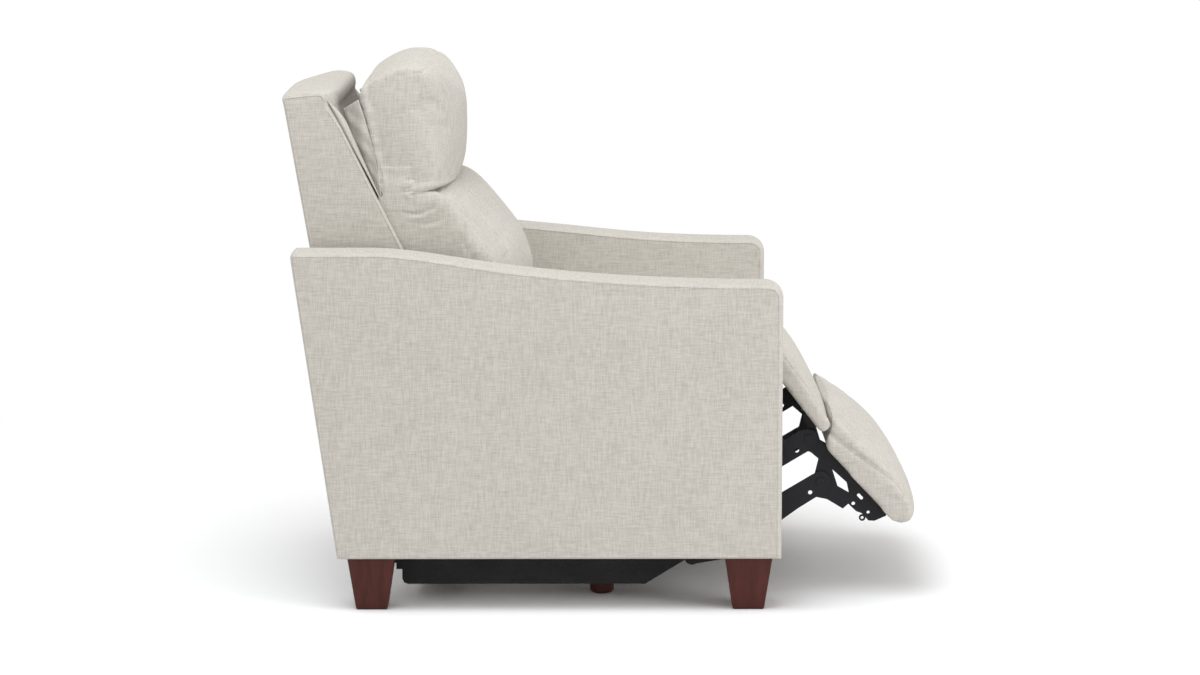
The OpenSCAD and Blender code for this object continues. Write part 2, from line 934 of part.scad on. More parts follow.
// Rod with a slotted eye that takes up the rise of the crank's arc
module drive_rod(tail, eye, y, slot) {
    way = eye[0] > tail[0] ? 1 : -1;
    start = tail[0] + way * 130;
    eye_r = pin_r + 2.6;
    eye_half = 14;
    translate([start, y, eye[1]])
        rotate([0, 90 * way, 0])
            cylinder(r = rod_r, h = abs(eye[0] - start) - eye_half + 0.5);
    translate([eye[0], y - 4, eye[1]]) difference() {
        translate([-eye_half, 0, -12]) cube([2 * eye_half, 8, slot + 24]);
        translate([-eye_r, -over, 0]) cube([2 * eye_r, 8 + 2 * over, slot]);
        for (z = [0, slot])
            translate([0, -over, z]) rotate([-90, 0, 0])
                cylinder(r = eye_r, h = 8 + 2 * over);
    }
}

module footrest_actuator_rod() {
    chair() color(wire_colour)
        drive_rod(footrest_drive_tail, crank_pin, drive_y, 18);
}

module recline_actuator_rod() {
    chair() color(wire_colour)
        drive_rod(recline_drive_tail, back_lever_pin, -drive_y, 1);
}

// Rear swing arms of the footrest, turned together by the drive tube
module footrest_arm(side) {
    near = arm_out - steel_t;
    chair() color(steel_colour) {
        difference() {
            slab(side, near, arm_out) difference() {
                bar(arm_pivot, lower_rear, arm_half_w);
                translate(mix(arm_pivot, lower_rear, 0.35)) circle(4);
            }
            bore(side, arm_pivot, near, arm_out);
        }
        for (p = [lower_rear, upper_rear])
            peg(side, p, pin_r, link_out - steel_t - 0.3, near);
    }
}

module right_footrest_arm() {
    footrest_arm(RIGHT);
}

module left_footrest_arm() {
    footrest_arm(LEFT);
}

module footrest_drive_tube() {
    half = arm_out - steel_t;
    chair() color(steel_colour) {
        difference() {
            peg(LEFT, arm_pivot, drive_tube_r, -half, half);
            peg(LEFT, arm_pivot, drive_tube_r - 2.5, -half - over, half + over);
        }
        for (y = [drive_y - 9.5, drive_y + 5.5])
            slab(LEFT, y, y + steel_t) difference() {
                bar(arm_pivot - [0, drive_tube_r + 4], crank_pin, 10);
                translate(arm_pivot) circle(drive_tube_r - 0.2);
            }
        peg(LEFT, crank_pin, pin_r, drive_y - 9.5, drive_y + 9.5);
    }
}

module footrest_front_arms() {
    near = arm_out - steel_t;
    chair() color(steel_colour)
        for (side = [RIGHT, LEFT]) {
            difference() {
                slab(side, near, arm_out) bar(front_arm_pivot, front_arm_foot, arm_half_w);
                bore(side, front_arm_pivot, near, arm_out);
            }
            peg(side, front_arm_foot, pin_r, link_out - steel_t - 0.3, near);
        }
}

// Lower footrest links: long plates with an ear for the front swing arm
module lower_link(side) {
    near = link_out - steel_t;
    n = turn(link_dir, 90);
    chair() color(steel_colour) {
        difference() {
            slab(side, near, link_out) difference() {
                union() {
                    polygon([
                        lower_rear + 14 * n,
                        lower_rear - 14 * n,
                        front_arm_foot - 14 * n,
                        knee - 62 * link_dir - (lower_half_w + 3) * n,
                        knee - 22 * link_dir - 21 * n,
                        knee + 2 * link_dir - 26 * n,
                        knee + 8 * link_dir + 16 * n,
                        knee - 6 * link_dir + lower_half_w * n,
                        knee - 70 * link_dir + lower_half_w * n,
                        lower_rear + 60 * link_dir + 14 * n
                    ]);
                    translate(lower_rear) circle(14);
                    translate(front_arm_foot) circle(14);
                    translate(knee) circle(19);
                }
                translate(knee - 27 * link_dir - 8 * n) circle(4);
                translate(mix(lower_rear, knee, 0.42)) circle(6);
            }
            bore(side, lower_rear, near, link_out);
            bore(side, front_arm_foot, near, link_out);
        }
        peg(side, knee, pin_r, bracket_out - steel_t - 0.3, near);
        peg(side, knee, rivet_r, link_out, link_out + rivet_h);
    }
}

module right_lower_link() {
    lower_link(RIGHT);
}

module left_lower_link() {
    lower_link(LEFT);
}

// Upper footrest links, parallel to the lower ones
module upper_link(side) {
    near = link_out - steel_t;
    n = turn(link_dir, 90);
    chair() color(steel_colour) {
        difference() {
            slab(side, near, link_out) difference() {
                union() {
                    bar(upper_rear, mix(upper_rear, upper_front, 0.4), 13);
                    polygon([
                        upper_rear + 13 * n,
                        upper_rear - 13 * n,
                        upper_front - 90 * link_dir - upper_half_w * n,
                        upper_front - 30 * link_dir - upper_half_w * n,
                        upper_front - 4 * link_dir - upper_half_w * n,
                        upper_front + 14 * link_dir - 10 * n,
                        upper_front + 14 * link_dir + 10 * n,
                        upper_front - 4 * link_dir + upper_half_w * n,
                        upper_front - 90 * link_dir + upper_half_w * n
                    ]);
                    translate(upper_front) circle(17);
                }
                translate(upper_front - 30 * link_dir - 8 * n) circle(4.5);
            }
            bore(side, upper_rear, near, link_out);
        }
        peg(side, upper_front, pin_r, bracket_out - steel_t - 0.3, near);
        peg(side, upper_front, rivet_r, link_out, link_out + rivet_h);
    }
}

module right_upper_link() {
    upper_link(RIGHT);
}

module left_upper_link() {
    upper_link(LEFT);
}

// Footrest brackets: open plates under the main pad with a diamond window
function on_pad(along, up) = pad_corner + along * pad_dir + up * pad_up;

module bracket_outline() {
    difference() {
        union() {
            polygon([
                upper_front + [-16, 6],
                upper_front + [-2, 16],
                on_pad(-14, -3),
                on_pad(2, -seat_gap),
                on_pad(176, -seat_gap),
                on_pad(176, -10),
                on_pad(169, -30),
                on_pad(161, -38),
                on_pad(142, -38),
                on_pad(132, -43),
                on_pad(112, -44),
                knee + [42, -52],
                knee + [12, -34],
                knee + [-8, -30],
                knee + [-14, 0],
                knee + [-4, 42],
                upper_front + [-10, -14]
            ]);
            translate(upper_front) circle(17);
            translate(knee) circle(17);
            translate(on_pad(149, -43)) circle(6);
        }
        polygon([on_pad(44, -22), on_pad(80, -19), on_pad(97, -29), on_pad(74, -36)]);
        bar(on_pad(113, -19), on_pad(121, -19), 3);
        translate(on_pad(118, -37)) circle(3.5);
        translate(on_pad(149, -28)) circle(3);
        translate(on_pad(149, -43)) circle(3);
    }
}

module footrest_bracket(side) {
    near = bracket_out - steel_t;
    chair() color(steel_colour) difference() {
        union() {
            slab(side, near, bracket_out) bracket_outline();
            slab(side, near - 22, near) polygon([
                on_pad(30, -steel_t - seat_gap),
                on_pad(30, -seat_gap),
                on_pad(160, -seat_gap),
                on_pad(160, -steel_t - seat_gap)
            ]);
            peg(side, mid_pivot, pin_r, mid_in - 0.3, near);
        }
        bore(side, knee, near, bracket_out);
        bore(side, upper_front, near, bracket_out);
    }
}

module right_footrest_bracket() {
    footrest_bracket(RIGHT);
}

module left_footrest_bracket() {
    footrest_bracket(LEFT);
}

// Plywood board inside the main pad's back
module footrest_board() {
    chair() color(timber_colour)
        across(pad_w - 44) polygon([
            on_pad(14, 0),
            on_pad(pad_l - 16, 0),
            on_pad(pad_l - 16, footboard_t),
            on_pad(14, footboard_t)
        ]);
}

// Main pad: a full crown that wraps over the top and the tip of the board
module footrest_pad() {
    middle = flat_based_curve([
        [4, 0], [-6, 20], [-13, 42], [-8, 61], [26, pad_t], [96, pad_t],
        [pad_l - 40, pad_t - 18], [pad_l, pad_t - 35], [pad_l + 19, pad_t - 53],
        [pad_l + 21, pad_t - 67], [pad_l + 10, 0], [pad_l - 14, 0]
    ], 4);
    side = flat_based_curve([
        [6, 0], [2, 12], [4, 22], [16, 30], [50, 36], [96, 43],
        [pad_l - 62, 47], [pad_l - 24, 38], [pad_l - 7, 26], [pad_l, 12],
        [pad_l - 5, 0], [pad_l - 14, 0]
    ], 4);
    chair() color(fabric_colour) difference() {
        padded_form(
            [for (p = middle) on_pad(p[0], p[1])],
            [for (p = side) on_pad(p[0], p[1])],
            pad_w, 7
        );
        across(pad_w - 44 + 2 * seat_gap) polygon([
            on_pad(14 - seat_gap, -30),
            on_pad(pad_l - 16 + seat_gap, -30),
            on_pad(pad_l - 16 + seat_gap, footboard_t + seat_gap),
            on_pad(14 - seat_gap, footboard_t + seat_gap)
        ]);
    }
}

// Middle pad and the small brackets that hinge it to the footrest
function on_mid(along, up) = mid_corner + along * mid_dir + up * mid_up;

module middle_brackets() {
    chair() color(steel_colour)
        for (side = [RIGHT, LEFT])
            difference() {
                union() {
                    slab(side, mid_in, mid_out) {
                        translate(mid_pivot) circle(10);
                        polygon([
                            mid_pivot + [-10, 0],
                            mid_pivot + [9, 5],
                            on_mid(8, -seat_gap),
                            on_mid(38, -seat_gap),
                            on_mid(37, -8),
                            on_mid(16, -14)
                        ]);
                    }
                    slab(side, mid_in - 20, mid_in) polygon([
                        on_mid(14, -seat_gap - steel_t),
                        on_mid(14, -seat_gap),
                        on_mid(46, -seat_gap),
                        on_mid(46, -seat_gap - steel_t)
                    ]);
                }
                bore(side, mid_pivot, mid_in, mid_out);
            }
}

module middle_pad() {
    middle = flat_based_curve([
        [-4, 0], [-9, 16], [0, 30], [43, 38], [93, mid_t - 2], [151, mid_t],
        [mid_l - 20, mid_t - 10], [mid_l - 12, 14], [mid_l - 22, 0]
    ], 4);
    side = flat_based_curve([
        [-2, 0], [-9, 14], [-2, 26], [43, 31], [93, 34], [151, 34],
        [mid_l - 26, 28], [mid_l - 18, 12], [mid_l - 26, 0]
    ], 4);
    chair() color(fabric_colour)
        padded_form(
            [for (p = middle) on_mid(p[0], p[1])],
            [for (p = side) on_mid(p[0], p[1])],
            pad_w, 6
        );
}

// Back shell: an upholstered frame, raked at the rear and cut back in front
shell_rake = 9.6;
shell_front_rake = 26.5;
shell_front_x = 811;
shell_front_z = 914;
lap_x = 640;

function shell_rear_at(z) = -shell_rear_x + (shell_top_z - 12 - z) * tan(shell_rake);
function shell_front_at(z) = -shell_front_x + (shell_front_z - z) * tan(shell_front_rake);

shell_knee_z = shell_front_z - (shell_front_x - lap_x) / tan(shell_front_rake);

module shell_outline() {
    polygon([
        [shell_rear_at(shell_bottom_z), shell_bottom_z],
        [shell_rear_at(shell_top_z - 34), shell_top_z - 34],
        [-shell_rear_x + 7, shell_top_z - 22],
        [-shell_rear_x + 19, shell_top_z - 11],
        [-shell_rear_x + 42, shell_top_z - 2],
        [-shell_front_x - 7, shell_top_z],
        [-shell_front_x - 1, shell_top_z - 8],
        [-shell_front_x, shell_front_z],
        [-lap_x, shell_knee_z],
        [-lap_x, shell_bottom_z]
    ]);
}

head_pocket_w = 190;
head_pocket_x = 792;

module back_shell() {
    w = shell_w / 2;
    chair() color(fabric_colour) difference() {
        intersection() {
            across(shell_w) shell_outline();
            translate([-shell_rear_x - 50, 0, 0]) rotate([90, 0, 90])
                linear_extrude(400) {
                    translate([-w, shell_bottom_z])
                        square([shell_w, shell_top_z - shell_corner_r - shell_bottom_z]);
                    translate([-w + shell_corner_r, shell_bottom_z])
                        square([shell_w - 2 * shell_corner_r, shell_top_z - shell_bottom_z]);
                    for (y = [-w + shell_corner_r, w - shell_corner_r])
                        translate([y, shell_top_z - shell_corner_r]) circle(shell_corner_r);
                }
        }
        translate([-head_pocket_x, -head_pocket_w / 2, 560])
            cube([200, head_pocket_w, 220]);
    }
}

// Back cushion: full at the loin, tucked under the pillow at its top
module back_cushion() {
    rear = -lap_x + 0.5;
    rear_edge = [[shell_front_at(712) + 0.5, 712], [rear, shell_knee_z + 1], [rear, 512]];
    middle = concat(flat_based_curve([
        [-600, 509], [-530, 508], [-470, 515], [-448, 545], [-447, 593], [-465, 647],
        [-494, 685], [-522, 718], [-562, 762], [-612, 762], [-690, 732]
    ], 4), rear_edge);
    side = concat(flat_based_curve([
        [-600, 512], [-540, 512], [-506, 520], [-492, 548], [-496, 585], [-508, 622],
        [-530, 655], [-556, 690], [-590, 724], [-630, 744], [-690, 728]
    ], 4), rear_edge);
    chair() color(fabric_colour) padded_form(middle, side, back_w, 7);
}

// Back hinge brackets: under the shell and down to the drive's lever
module back_hinge_brackets() {
    near = arm_out - steel_t;
    chair() color(steel_colour) {
        for (side = [RIGHT, LEFT])
            difference() {
                union() {
                    slab(side, near, arm_out) {
                        translate(back_hinge) circle(16);
                        polygon([
                            back_hinge + [14, 8],
                            [-lap_x - 4, shell_bottom_z],
                            [-lap_x - 130, shell_bottom_z],
                            [-lap_x - 130, shell_bottom_z - 12],
                            back_hinge + [-15, -6]
                        ]);
                    }
                    slab(side, near - 30, near)
                        translate([-lap_x - 130, shell_bottom_z - steel_t])
                            square([120, steel_t]);
                }
                bore(side, back_hinge, near, arm_out);
            }
        difference() {
            peg(LEFT, [-lap_x - 80, shell_bottom_z - 16], 11.8, -near, near);
            peg(LEFT, [-lap_x - 80, shell_bottom_z - 16], 9.5, -near - over, near + over);
        }
        for (y = [-drive_y - 9.5, -drive_y + 5.5])
            slab(LEFT, y, y + steel_t) difference() {
                bar([-lap_x - 80, shell_bottom_z - 30], back_lever_pin, 10);
                translate([-lap_x - 80, shell_bottom_z - 16]) circle(11.6);
            }
        peg(LEFT, back_lever_pin, pin_r, -drive_y - 9.5, -drive_y + 9.5);
    }
}

// Head pillow: a full crown, fuller in front, with a corner seam at its top
module head_pillow() {
    rear = -head_hinge_x;
    top = pillow_top_z;
    middle = closed_curve([
        [rear, 762], [rear - 13, 820], [rear - 31, 900], [rear - 34, 942], [-740, 968],
        [-701, top - 12], [-650, top], [-618, top - 8], [-594, top - 36], [-581, top - 79],
        [-578, 860], [-579, 806], [-596, 776], [-650, 760]
    ], 4);
    side = closed_curve([
        [rear, 762], [rear - 13, 820], [rear - 29, 890], [rear - 36, 922], [-744, 943],
        [-712, 954], [-676, 967], [-644, 967], [-609, 942], [-582, 902],
        [-576, 856], [-580, 814], [-603, 776], [-656, 757]
    ], 4);
    chair() color(fabric_colour) difference() {
        padded_form(middle, side, back_w, 7);
        across(head_plate_w + 2 * seat_gap) head_plate_outline(seat_gap, 40);
    }
}

// Headrest bracket: a plate in the pillow's back that turns on the shell
head_rake = 12.9;
head_plate_w = 170;
head_plate_h = 150;

head_up = turn([0, 1], head_rake);
head_out = turn([1, 0], head_rake);

head_plate_in = 5;

module head_plate_outline(clear, behind) {
    base = head_hinge + (10 - clear) * head_up;
    front = (head_plate_in + steel_t + clear) * head_out;
    rear = (head_plate_in - behind) * head_out;
    tall = (head_plate_h + 2 * clear) * head_up;
    polygon([base + rear, base + front, base + front + tall, base + rear + tall]);
}

module headrest_bracket() {
    base = head_hinge + 10 * head_up + head_plate_in * head_out;
    chair() color(steel_colour) {
        across(head_plate_w) head_plate_outline(0, 0);
        difference() {
            across(head_plate_w - 30) {
                translate(head_hinge) circle(9);
                polygon([head_hinge + [-8, 0], head_hinge + [8, 0],
                         base + steel_t * head_out, base]);
            }
            bore(LEFT, head_hinge, -head_plate_w, head_plate_w);
        }
        for (y = [-9.5, 5.5])
            slab(LEFT, y, y + steel_t) difference() {
                bar(head_hinge - [6, 0], head_lever_pin, 8);
                translate(head_hinge) circle(8.5);
            }
        peg(LEFT, head_lever_pin, 4, -9.5, 9.5);
    }
}

// Headrest drive in the shell, with a hinge pin across the pocket
module headrest_actuator() {
    x = head_lever_pin[0];
    chair() color(black_colour) {
        peg(LEFT, head_hinge, pin_r, -head_pocket_w / 2, head_pocket_w / 2);
        translate([x, 0, 560]) {
            translate([-17, -20, 0]) cube([34, 40, 34]);
            difference() {
                cylinder(r = drive_r, h = 110);
                translate([0, 0, 36]) cylinder(r = rod_r + 0.4, h = 110);
            }
            translate([0, 20, 17]) rotate([-90, 0, 0]) cylinder(r = 16, h = 60);
        }
    }
}

module headrest_actuator_rod() {
    x = head_lever_pin[0];
    chair() color(wire_colour) {
        translate([x, 0, 610]) cylinder(r = rod_r, h = head_lever_pin[1] - 610 - 10);
        slab(LEFT, -4, 4) difference() {
            bar(head_lever_pin, head_lever_pin - [0, 8], 9.5);
            translate(head_lever_pin) circle(5.4);
        }
    }
}

right_arm();
left_arm();
front_right_leg();
front_left_leg();
rear_right_leg();
rear_left_leg();
right_support_foot();
left_support_foot();
leg_bolts();
right_base_board();
left_base_board();
right_base_rail();
left_base_rail();
middle_cross_rail();
rear_cross_rail();
power_supply();
power_inlet();
control_bezel();
footrest_out_button();
footrest_in_button();
recline_back_button();
recline_up_button();
headrest_forward_button();
headrest_back_button();
home_button();
right_front_swing_link();
left_front_swing_link();
right_rear_swing_link();
left_rear_swing_link();
right_seat_plate();
left_seat_plate();
seat_frame();
seat_springs();
seat_cushion();
seat_cross_tubes();
footrest_actuator();
recline_actuator();
right_footrest_arm();
left_footrest_arm();
footrest_drive_tube();
footrest_front_arms();
right_lower_link();
left_lower_link();
right_upper_link();
left_upper_link();
right_footrest_bracket();
left_footrest_bracket();
footrest_board();
footrest_pad();
middle_brackets();
middle_pad();
footrest_actuator_rod();
recline_actuator_rod();
back_shell();
back_cushion();
back_hinge_brackets();
head_pillow();
headrest_bracket();
headrest_actuator();
headrest_actuator_rod();
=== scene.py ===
# %% [markdown]
# # A power recliner, dressed for its picture
#
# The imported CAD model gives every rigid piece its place: legs, rails, links and drives.
# This lesson adds what CAD solids can't show, which is the upholstery. Two arms and a back
# shell are worked out as panelled surfaces. Five cushions are blown up by a cloth solver.
# All are sewn along their seams, and each finish is built from shader nodes.
#
# The first step loads the model as a fixed frame. Everything else is placed in that frame.

import json
import math

import bmesh
import bpy
import numpy as np
from mathutils.bvhtree import BVHTree
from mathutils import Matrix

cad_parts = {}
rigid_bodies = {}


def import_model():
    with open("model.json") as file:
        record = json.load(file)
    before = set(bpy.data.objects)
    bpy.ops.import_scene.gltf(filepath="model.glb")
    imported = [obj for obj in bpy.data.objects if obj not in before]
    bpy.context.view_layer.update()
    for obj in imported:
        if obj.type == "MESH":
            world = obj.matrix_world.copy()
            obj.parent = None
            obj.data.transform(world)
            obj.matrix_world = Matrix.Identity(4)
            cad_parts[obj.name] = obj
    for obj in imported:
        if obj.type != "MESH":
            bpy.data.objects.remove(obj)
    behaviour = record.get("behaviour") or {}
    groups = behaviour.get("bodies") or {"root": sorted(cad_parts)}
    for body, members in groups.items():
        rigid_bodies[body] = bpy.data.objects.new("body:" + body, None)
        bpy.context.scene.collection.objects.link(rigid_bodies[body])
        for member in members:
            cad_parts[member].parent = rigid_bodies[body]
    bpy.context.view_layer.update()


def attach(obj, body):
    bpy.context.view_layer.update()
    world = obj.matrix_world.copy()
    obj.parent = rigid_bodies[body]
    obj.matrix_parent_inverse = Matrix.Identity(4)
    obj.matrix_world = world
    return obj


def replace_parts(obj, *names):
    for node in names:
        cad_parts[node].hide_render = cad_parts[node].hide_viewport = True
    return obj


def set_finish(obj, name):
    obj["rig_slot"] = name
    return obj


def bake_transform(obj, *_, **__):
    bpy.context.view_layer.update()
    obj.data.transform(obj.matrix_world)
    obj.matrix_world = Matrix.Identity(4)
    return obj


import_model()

# %% [markdown]
# ## The camera
#
# The real chair was pictured with a long lens from its right side, a little above the seat.
# A long lens keeps the far arm almost as large as the near one. The lens and the place
# below were fitted to the corners of the arms and the soles of the legs.

# %% Camera
scene = bpy.context.scene
camera_data = bpy.data.cameras.new("side_view")
camera_data.lens = 103.5
camera_data.sensor_width = 36
camera_data.clip_end = 200
camera = bpy.data.objects.new("side_view", camera_data)
camera.location = (-0.0424, -6.5268, 1.4249)
camera.rotation_euler = (math.radians(90 - 8.515), 0, math.radians(-0.2726))
scene.collection.objects.link(camera)
scene.camera = camera
scene.view_settings.view_transform = "Standard"
print("camera at", tuple(camera.location), "with a lens of", camera_data.lens, "mm")

# %% [markdown]
# ## Numbers that the shapes share
#
# The outlines below are in millimetres, forwards from the front face of the arms and up
# from the floor, as an upholsterer reads them off a side view. The helpers turn them into
# the metres of the frame.

# %% Shared sizes
MM = 0.001
FRONT_X = 308
ARM_INNER, ARM_OUTER = 285, 390
SHELL_HALF, BACK_HALF, PAD_HALF, SEAT_HALF = 266, 264, 272, 278
LEG_HIGH = 98.5
SIDES = ((-1, "right"), (1, "left"))


def place(x, y, z):
    """Points of the frame: x forwards from the arm's front, y sideways, z up, all in mm."""
    x, y, z = np.broadcast_arrays(x, y, z)
    return np.stack([x + FRONT_X, y, z], axis=-1) * MM


def both_sides(line, *distances):
    """A side-view line, at each distance to the right and left of the middle plane."""
    line = np.asarray(line, float)
    return [place(line[:, 0], side * y, line[:, 1]) for side, _ in SIDES for y in distances]


print("seat", 2 * SEAT_HALF, "mm wide between arms", 2 * ARM_INNER, "mm apart")

# %% [markdown]
# ## Curves through points
#
# Fabric never has a hard corner, so its outlines are smooth curves through a few measured
# points. A Catmull-Rom curve passes through every point and needs no handles. A second
# helper spaces points evenly along any line.

# %% Curves
def smooth_curve(points, steps, closed=True):
    """Cubic stretches whose slope at each point is half the way between its neighbours."""
    p = np.asarray(points, float)
    if closed:
        before, start, after, beyond = np.roll(p, 1, 0), p, np.roll(p, -1, 0), np.roll(p, -2, 0)
    else:
        p = np.vstack([p[:1], p, p[-1:]])
        before, start, after, beyond = p[:-3], p[1:-2], p[2:-1], p[3:]
    t = (np.arange(steps) / steps)[None, :, None]
    before, start, after, beyond = (a[:, None, :] for a in (before, start, after, beyond))
    curve = start + 0.5 * (
        (after - before) * t
        + (2 * before - 5 * start + 4 * after - beyond) * t**2
        + (3 * start - before - 3 * after + beyond) * t**3
    )
    curve = curve.reshape(-1, p.shape[1])
    return curve if closed else np.vstack([curve, p[-1:]])


def even_points(line, count):
    """Points at equal steps of length along a line."""
    line = np.asarray(line, float)
    length = np.r_[0, np.cumsum(np.linalg.norm(np.diff(line, axis=0), axis=1))]
    at = np.linspace(0, length[-1], count)
    return np.stack([np.interp(at, length, column) for column in line.T], axis=1)


def line_through(points, count):
    """Evenly spaced points on the smooth open curve through a few given ones."""
    return even_points(smooth_curve(points, 6, closed=False), count)


def inward(outline):
    """The mitred step towards the inside at each point of a clockwise closed outline."""
    ahead = np.roll(outline, -1, 0) - outline
    ahead /= np.linalg.norm(ahead, axis=1, keepdims=True)
    normal = np.stack([ahead[:, 1], -ahead[:, 0]], axis=1)
    both = normal + np.roll(normal, 1, 0)
    return 2 * both / np.maximum((both**2).sum(1, keepdims=True), 1.0)


print("curves ready")

# %% [markdown]
# ## From grids to meshes
#
# Every new surface is a grid of points in one array, with quads between its rows and
# columns. One helper turns grids into an object at the origin, merges the points that fall
# together at poles and seams, and turns all faces outwards.

# %% Meshes
CREASE = math.radians(50)
DOUBLES = 0.01 * MM


def grid_faces(rows, columns, around):
    """Corner numbers of the quads between neighbouring rows and columns."""
    row = np.arange(rows - 1)[:, None]
    column = np.arange(columns if around else columns - 1)[None, :]
    right = (column + 1) % columns
    return np.stack(
        [row * columns + column, row * columns + right,
         (row + 1) * columns + right, (row + 1) * columns + column], axis=-1
    ).reshape(-1, 4)


def tidy_mesh(mesh):
    """Merge doubles, point the faces outwards, and shade smoothly below the crease angle."""
    work = bmesh.new()
    work.from_mesh(mesh)
    bmesh.ops.remove_doubles(work, verts=work.verts, dist=DOUBLES)
    bmesh.ops.recalc_face_normals(work, faces=work.faces)
    work.to_mesh(mesh)
    work.free()
    mesh.shade_smooth()
    mesh.set_sharp_from_angle(angle=CREASE)


def new_object(name, vertices, faces):
    """A tidied mesh as an object of the scene."""
    mesh = bpy.data.meshes.new(name)
    mesh.from_pydata(vertices.reshape(-1, 3), [], faces)
    thing = bpy.data.objects.new(name, mesh)
    scene.collection.objects.link(thing)
    tidy_mesh(mesh)
    return thing


def many_grids(name, grids, around=True):
    """Several grids, such as the welts of one cushion, as one object."""
    start, corners, points = 0, [], []
    for grid in grids:
        corners.append(grid_faces(*grid.shape[:2], around) + start)
        points.append(grid.reshape(-1, 3))
        start += len(points[-1])
    return new_object(name, np.vstack(points), np.vstack(corners).tolist())


def vertices_of(thing, what="co"):
    """All points of a mesh as one array, or with "normal" their outward directions."""
    flat = np.empty(len(thing.data.vertices) * 3, np.float32)
    thing.data.vertices.foreach_get(what, flat)
    return flat.reshape(-1, 3).astype(float)


def set_vertices(thing, points):
    """Write the points back."""
    thing.data.vertices.foreach_set("co", points.astype(np.float32).ravel())
    thing.data.update()


SKEW = [0.31, 0.9, 0.29]
CORD_SIDES = 8
CORD_TIP = 0.02


def cord_along(path, radius, closed=False):
    """A round profile carried along a path: centre + radius (cos, sin) across the path.

    The profile is turned by a skew direction that no path follows. An open cord shrinks
    to a tip at its ends.
    """
    path = np.asarray(path, float)
    if closed:
        ahead = np.roll(path, -1, 0) - np.roll(path, 1, 0)
    else:
        ahead = np.gradient(path, axis=0)
    ahead /= np.linalg.norm(ahead, axis=1, keepdims=True)
    side = np.cross(ahead, SKEW)
    side /= np.linalg.norm(side, axis=1, keepdims=True)
    up = np.cross(side, ahead)
    angle = np.linspace(0, 2 * np.pi, CORD_SIDES, endpoint=False)
    reach = np.full(len(path), radius)
    if not closed:
        reach[[0, -1]] = radius * CORD_TIP
    ring = np.cos(angle)[None, :, None] * side[:, None] + np.sin(angle)[None, :, None] * up[:, None]
    grid = path[:, None] + reach[:, None, None] * ring
    return np.vstack([grid, grid[:1]]) if closed else grid


def tell(thing):
    """Print what was made."""
    print(thing.name, len(thing.data.polygons), "faces")


print("a cord has", CORD_SIDES, "sides")

# %% [markdown]
# ## Panels and boxing: arms and shell
#
# An upholstered arm is two flat panels joined by a long boxing strip. The panels are sewn
# to the strip about 5 mm inside the silhouette, the padding rounds the edge, and it crowns
# the panels a little. The whole piece is one grid. Its rows run from the middle of one
# panel, over the boxing, to the middle of the other. Its columns go round the outline.

# %% Panelled slab
SEAM_IN, EDGE, GROOVE = 5.0, 6.0, 1.3
BOXING_CROWN = 1.2
PANEL_ROWS, EDGE_ROWS, BOXING_ROWS = 16, 6, 12
WELT, SUNK, INSIDE = 1.3 * MM, 0.4, 0.6


def slab_profile(low, high, crown_low, crown_high):
    """Rows of a slab: how far inside the outline, how far across, and what share of the panel.

    A panel point at share s of the way to the seam stands proud by crown (1 - s^4).
    The edge is a quarter circle, and the boxing bulges by crown (1 - u^2) over its width.
    """
    share = np.linspace(0, 1, PANEL_ROWS)
    panel = [np.full(PANEL_ROWS, SEAM_IN), -crown_low * (1 - share**4), share]
    angle = np.linspace(0, np.pi / 2, EDGE_ROWS + 1)[1:]
    groove = [[SEAM_IN], [GROOVE], [1]]
    edge = [SEAM_IN * (1 - np.sin(angle)), EDGE * (1 - np.cos(angle)), np.ones(EDGE_ROWS)]
    width = high - low
    u = np.linspace(-1, 1, BOXING_ROWS + 2)[1:-1]
    across = EDGE + (u + 1) / 2 * (width - 2 * EDGE)
    boxing = [-BOXING_CROWN * (1 - u**2), across, np.ones(BOXING_ROWS)]
    near = np.hstack([panel, groove, edge])
    far = near.copy()
    far[1, :PANEL_ROWS] *= crown_high / crown_low
    far[1] = width - far[1]
    rows = np.hstack([near, boxing, far[:, ::-1]])
    rows[1] += low
    return rows


def panelled_slab(name, outline, rows, shape):
    """outline + inset * inward step, pulled towards the middle by the panel share."""
    inset, across, share = rows
    step = inward(outline)
    ring = outline[None] + inset[:, None, None] * step[None]
    middle = (outline.min(0) + outline.max(0)) / 2
    ring = middle + (ring - middle) * share[:, None, None]
    return many_grids(name, [shape(place(ring[..., 0], across[:, None], ring[..., 1]))])


def welts(outline, shape, *distances):
    """Fine cords along a slab's seams, at distances from the middle plane."""
    ring = outline + (SEAM_IN - SUNK) * inward(outline)
    return [cord_along(shape(path), WELT, closed=True) for path in both_sides(ring, *distances)]


print("a slab edge is rounded over", EDGE, "mm")

# %% [markdown]
# ### The two arms
#
# The arm's top line falls in a long S from the rear to the front. The measured line is a
# cubic curve between two straight ends, with a 24 mm round at the front corner.

# %% Arms
def bezier(a, b, c, d, count):
    """The cubic that leaves a towards b and reaches d from c."""
    t = np.linspace(0, 1, count)[:, None]
    a, b, c, d = (np.array(q, float) for q in (a, b, c, d))
    return (1 - t) ** 3 * a + 3 * (1 - t) ** 2 * t * b + 3 * (1 - t) * t**2 * c + t**3 * d


def arc(centre, radius, start, stop, count):
    """Points on a circle, with angles in degrees."""
    angle = np.radians(np.linspace(start, stop, count))
    return np.array(centre) + radius * np.stack([np.cos(angle), np.sin(angle)], axis=1)


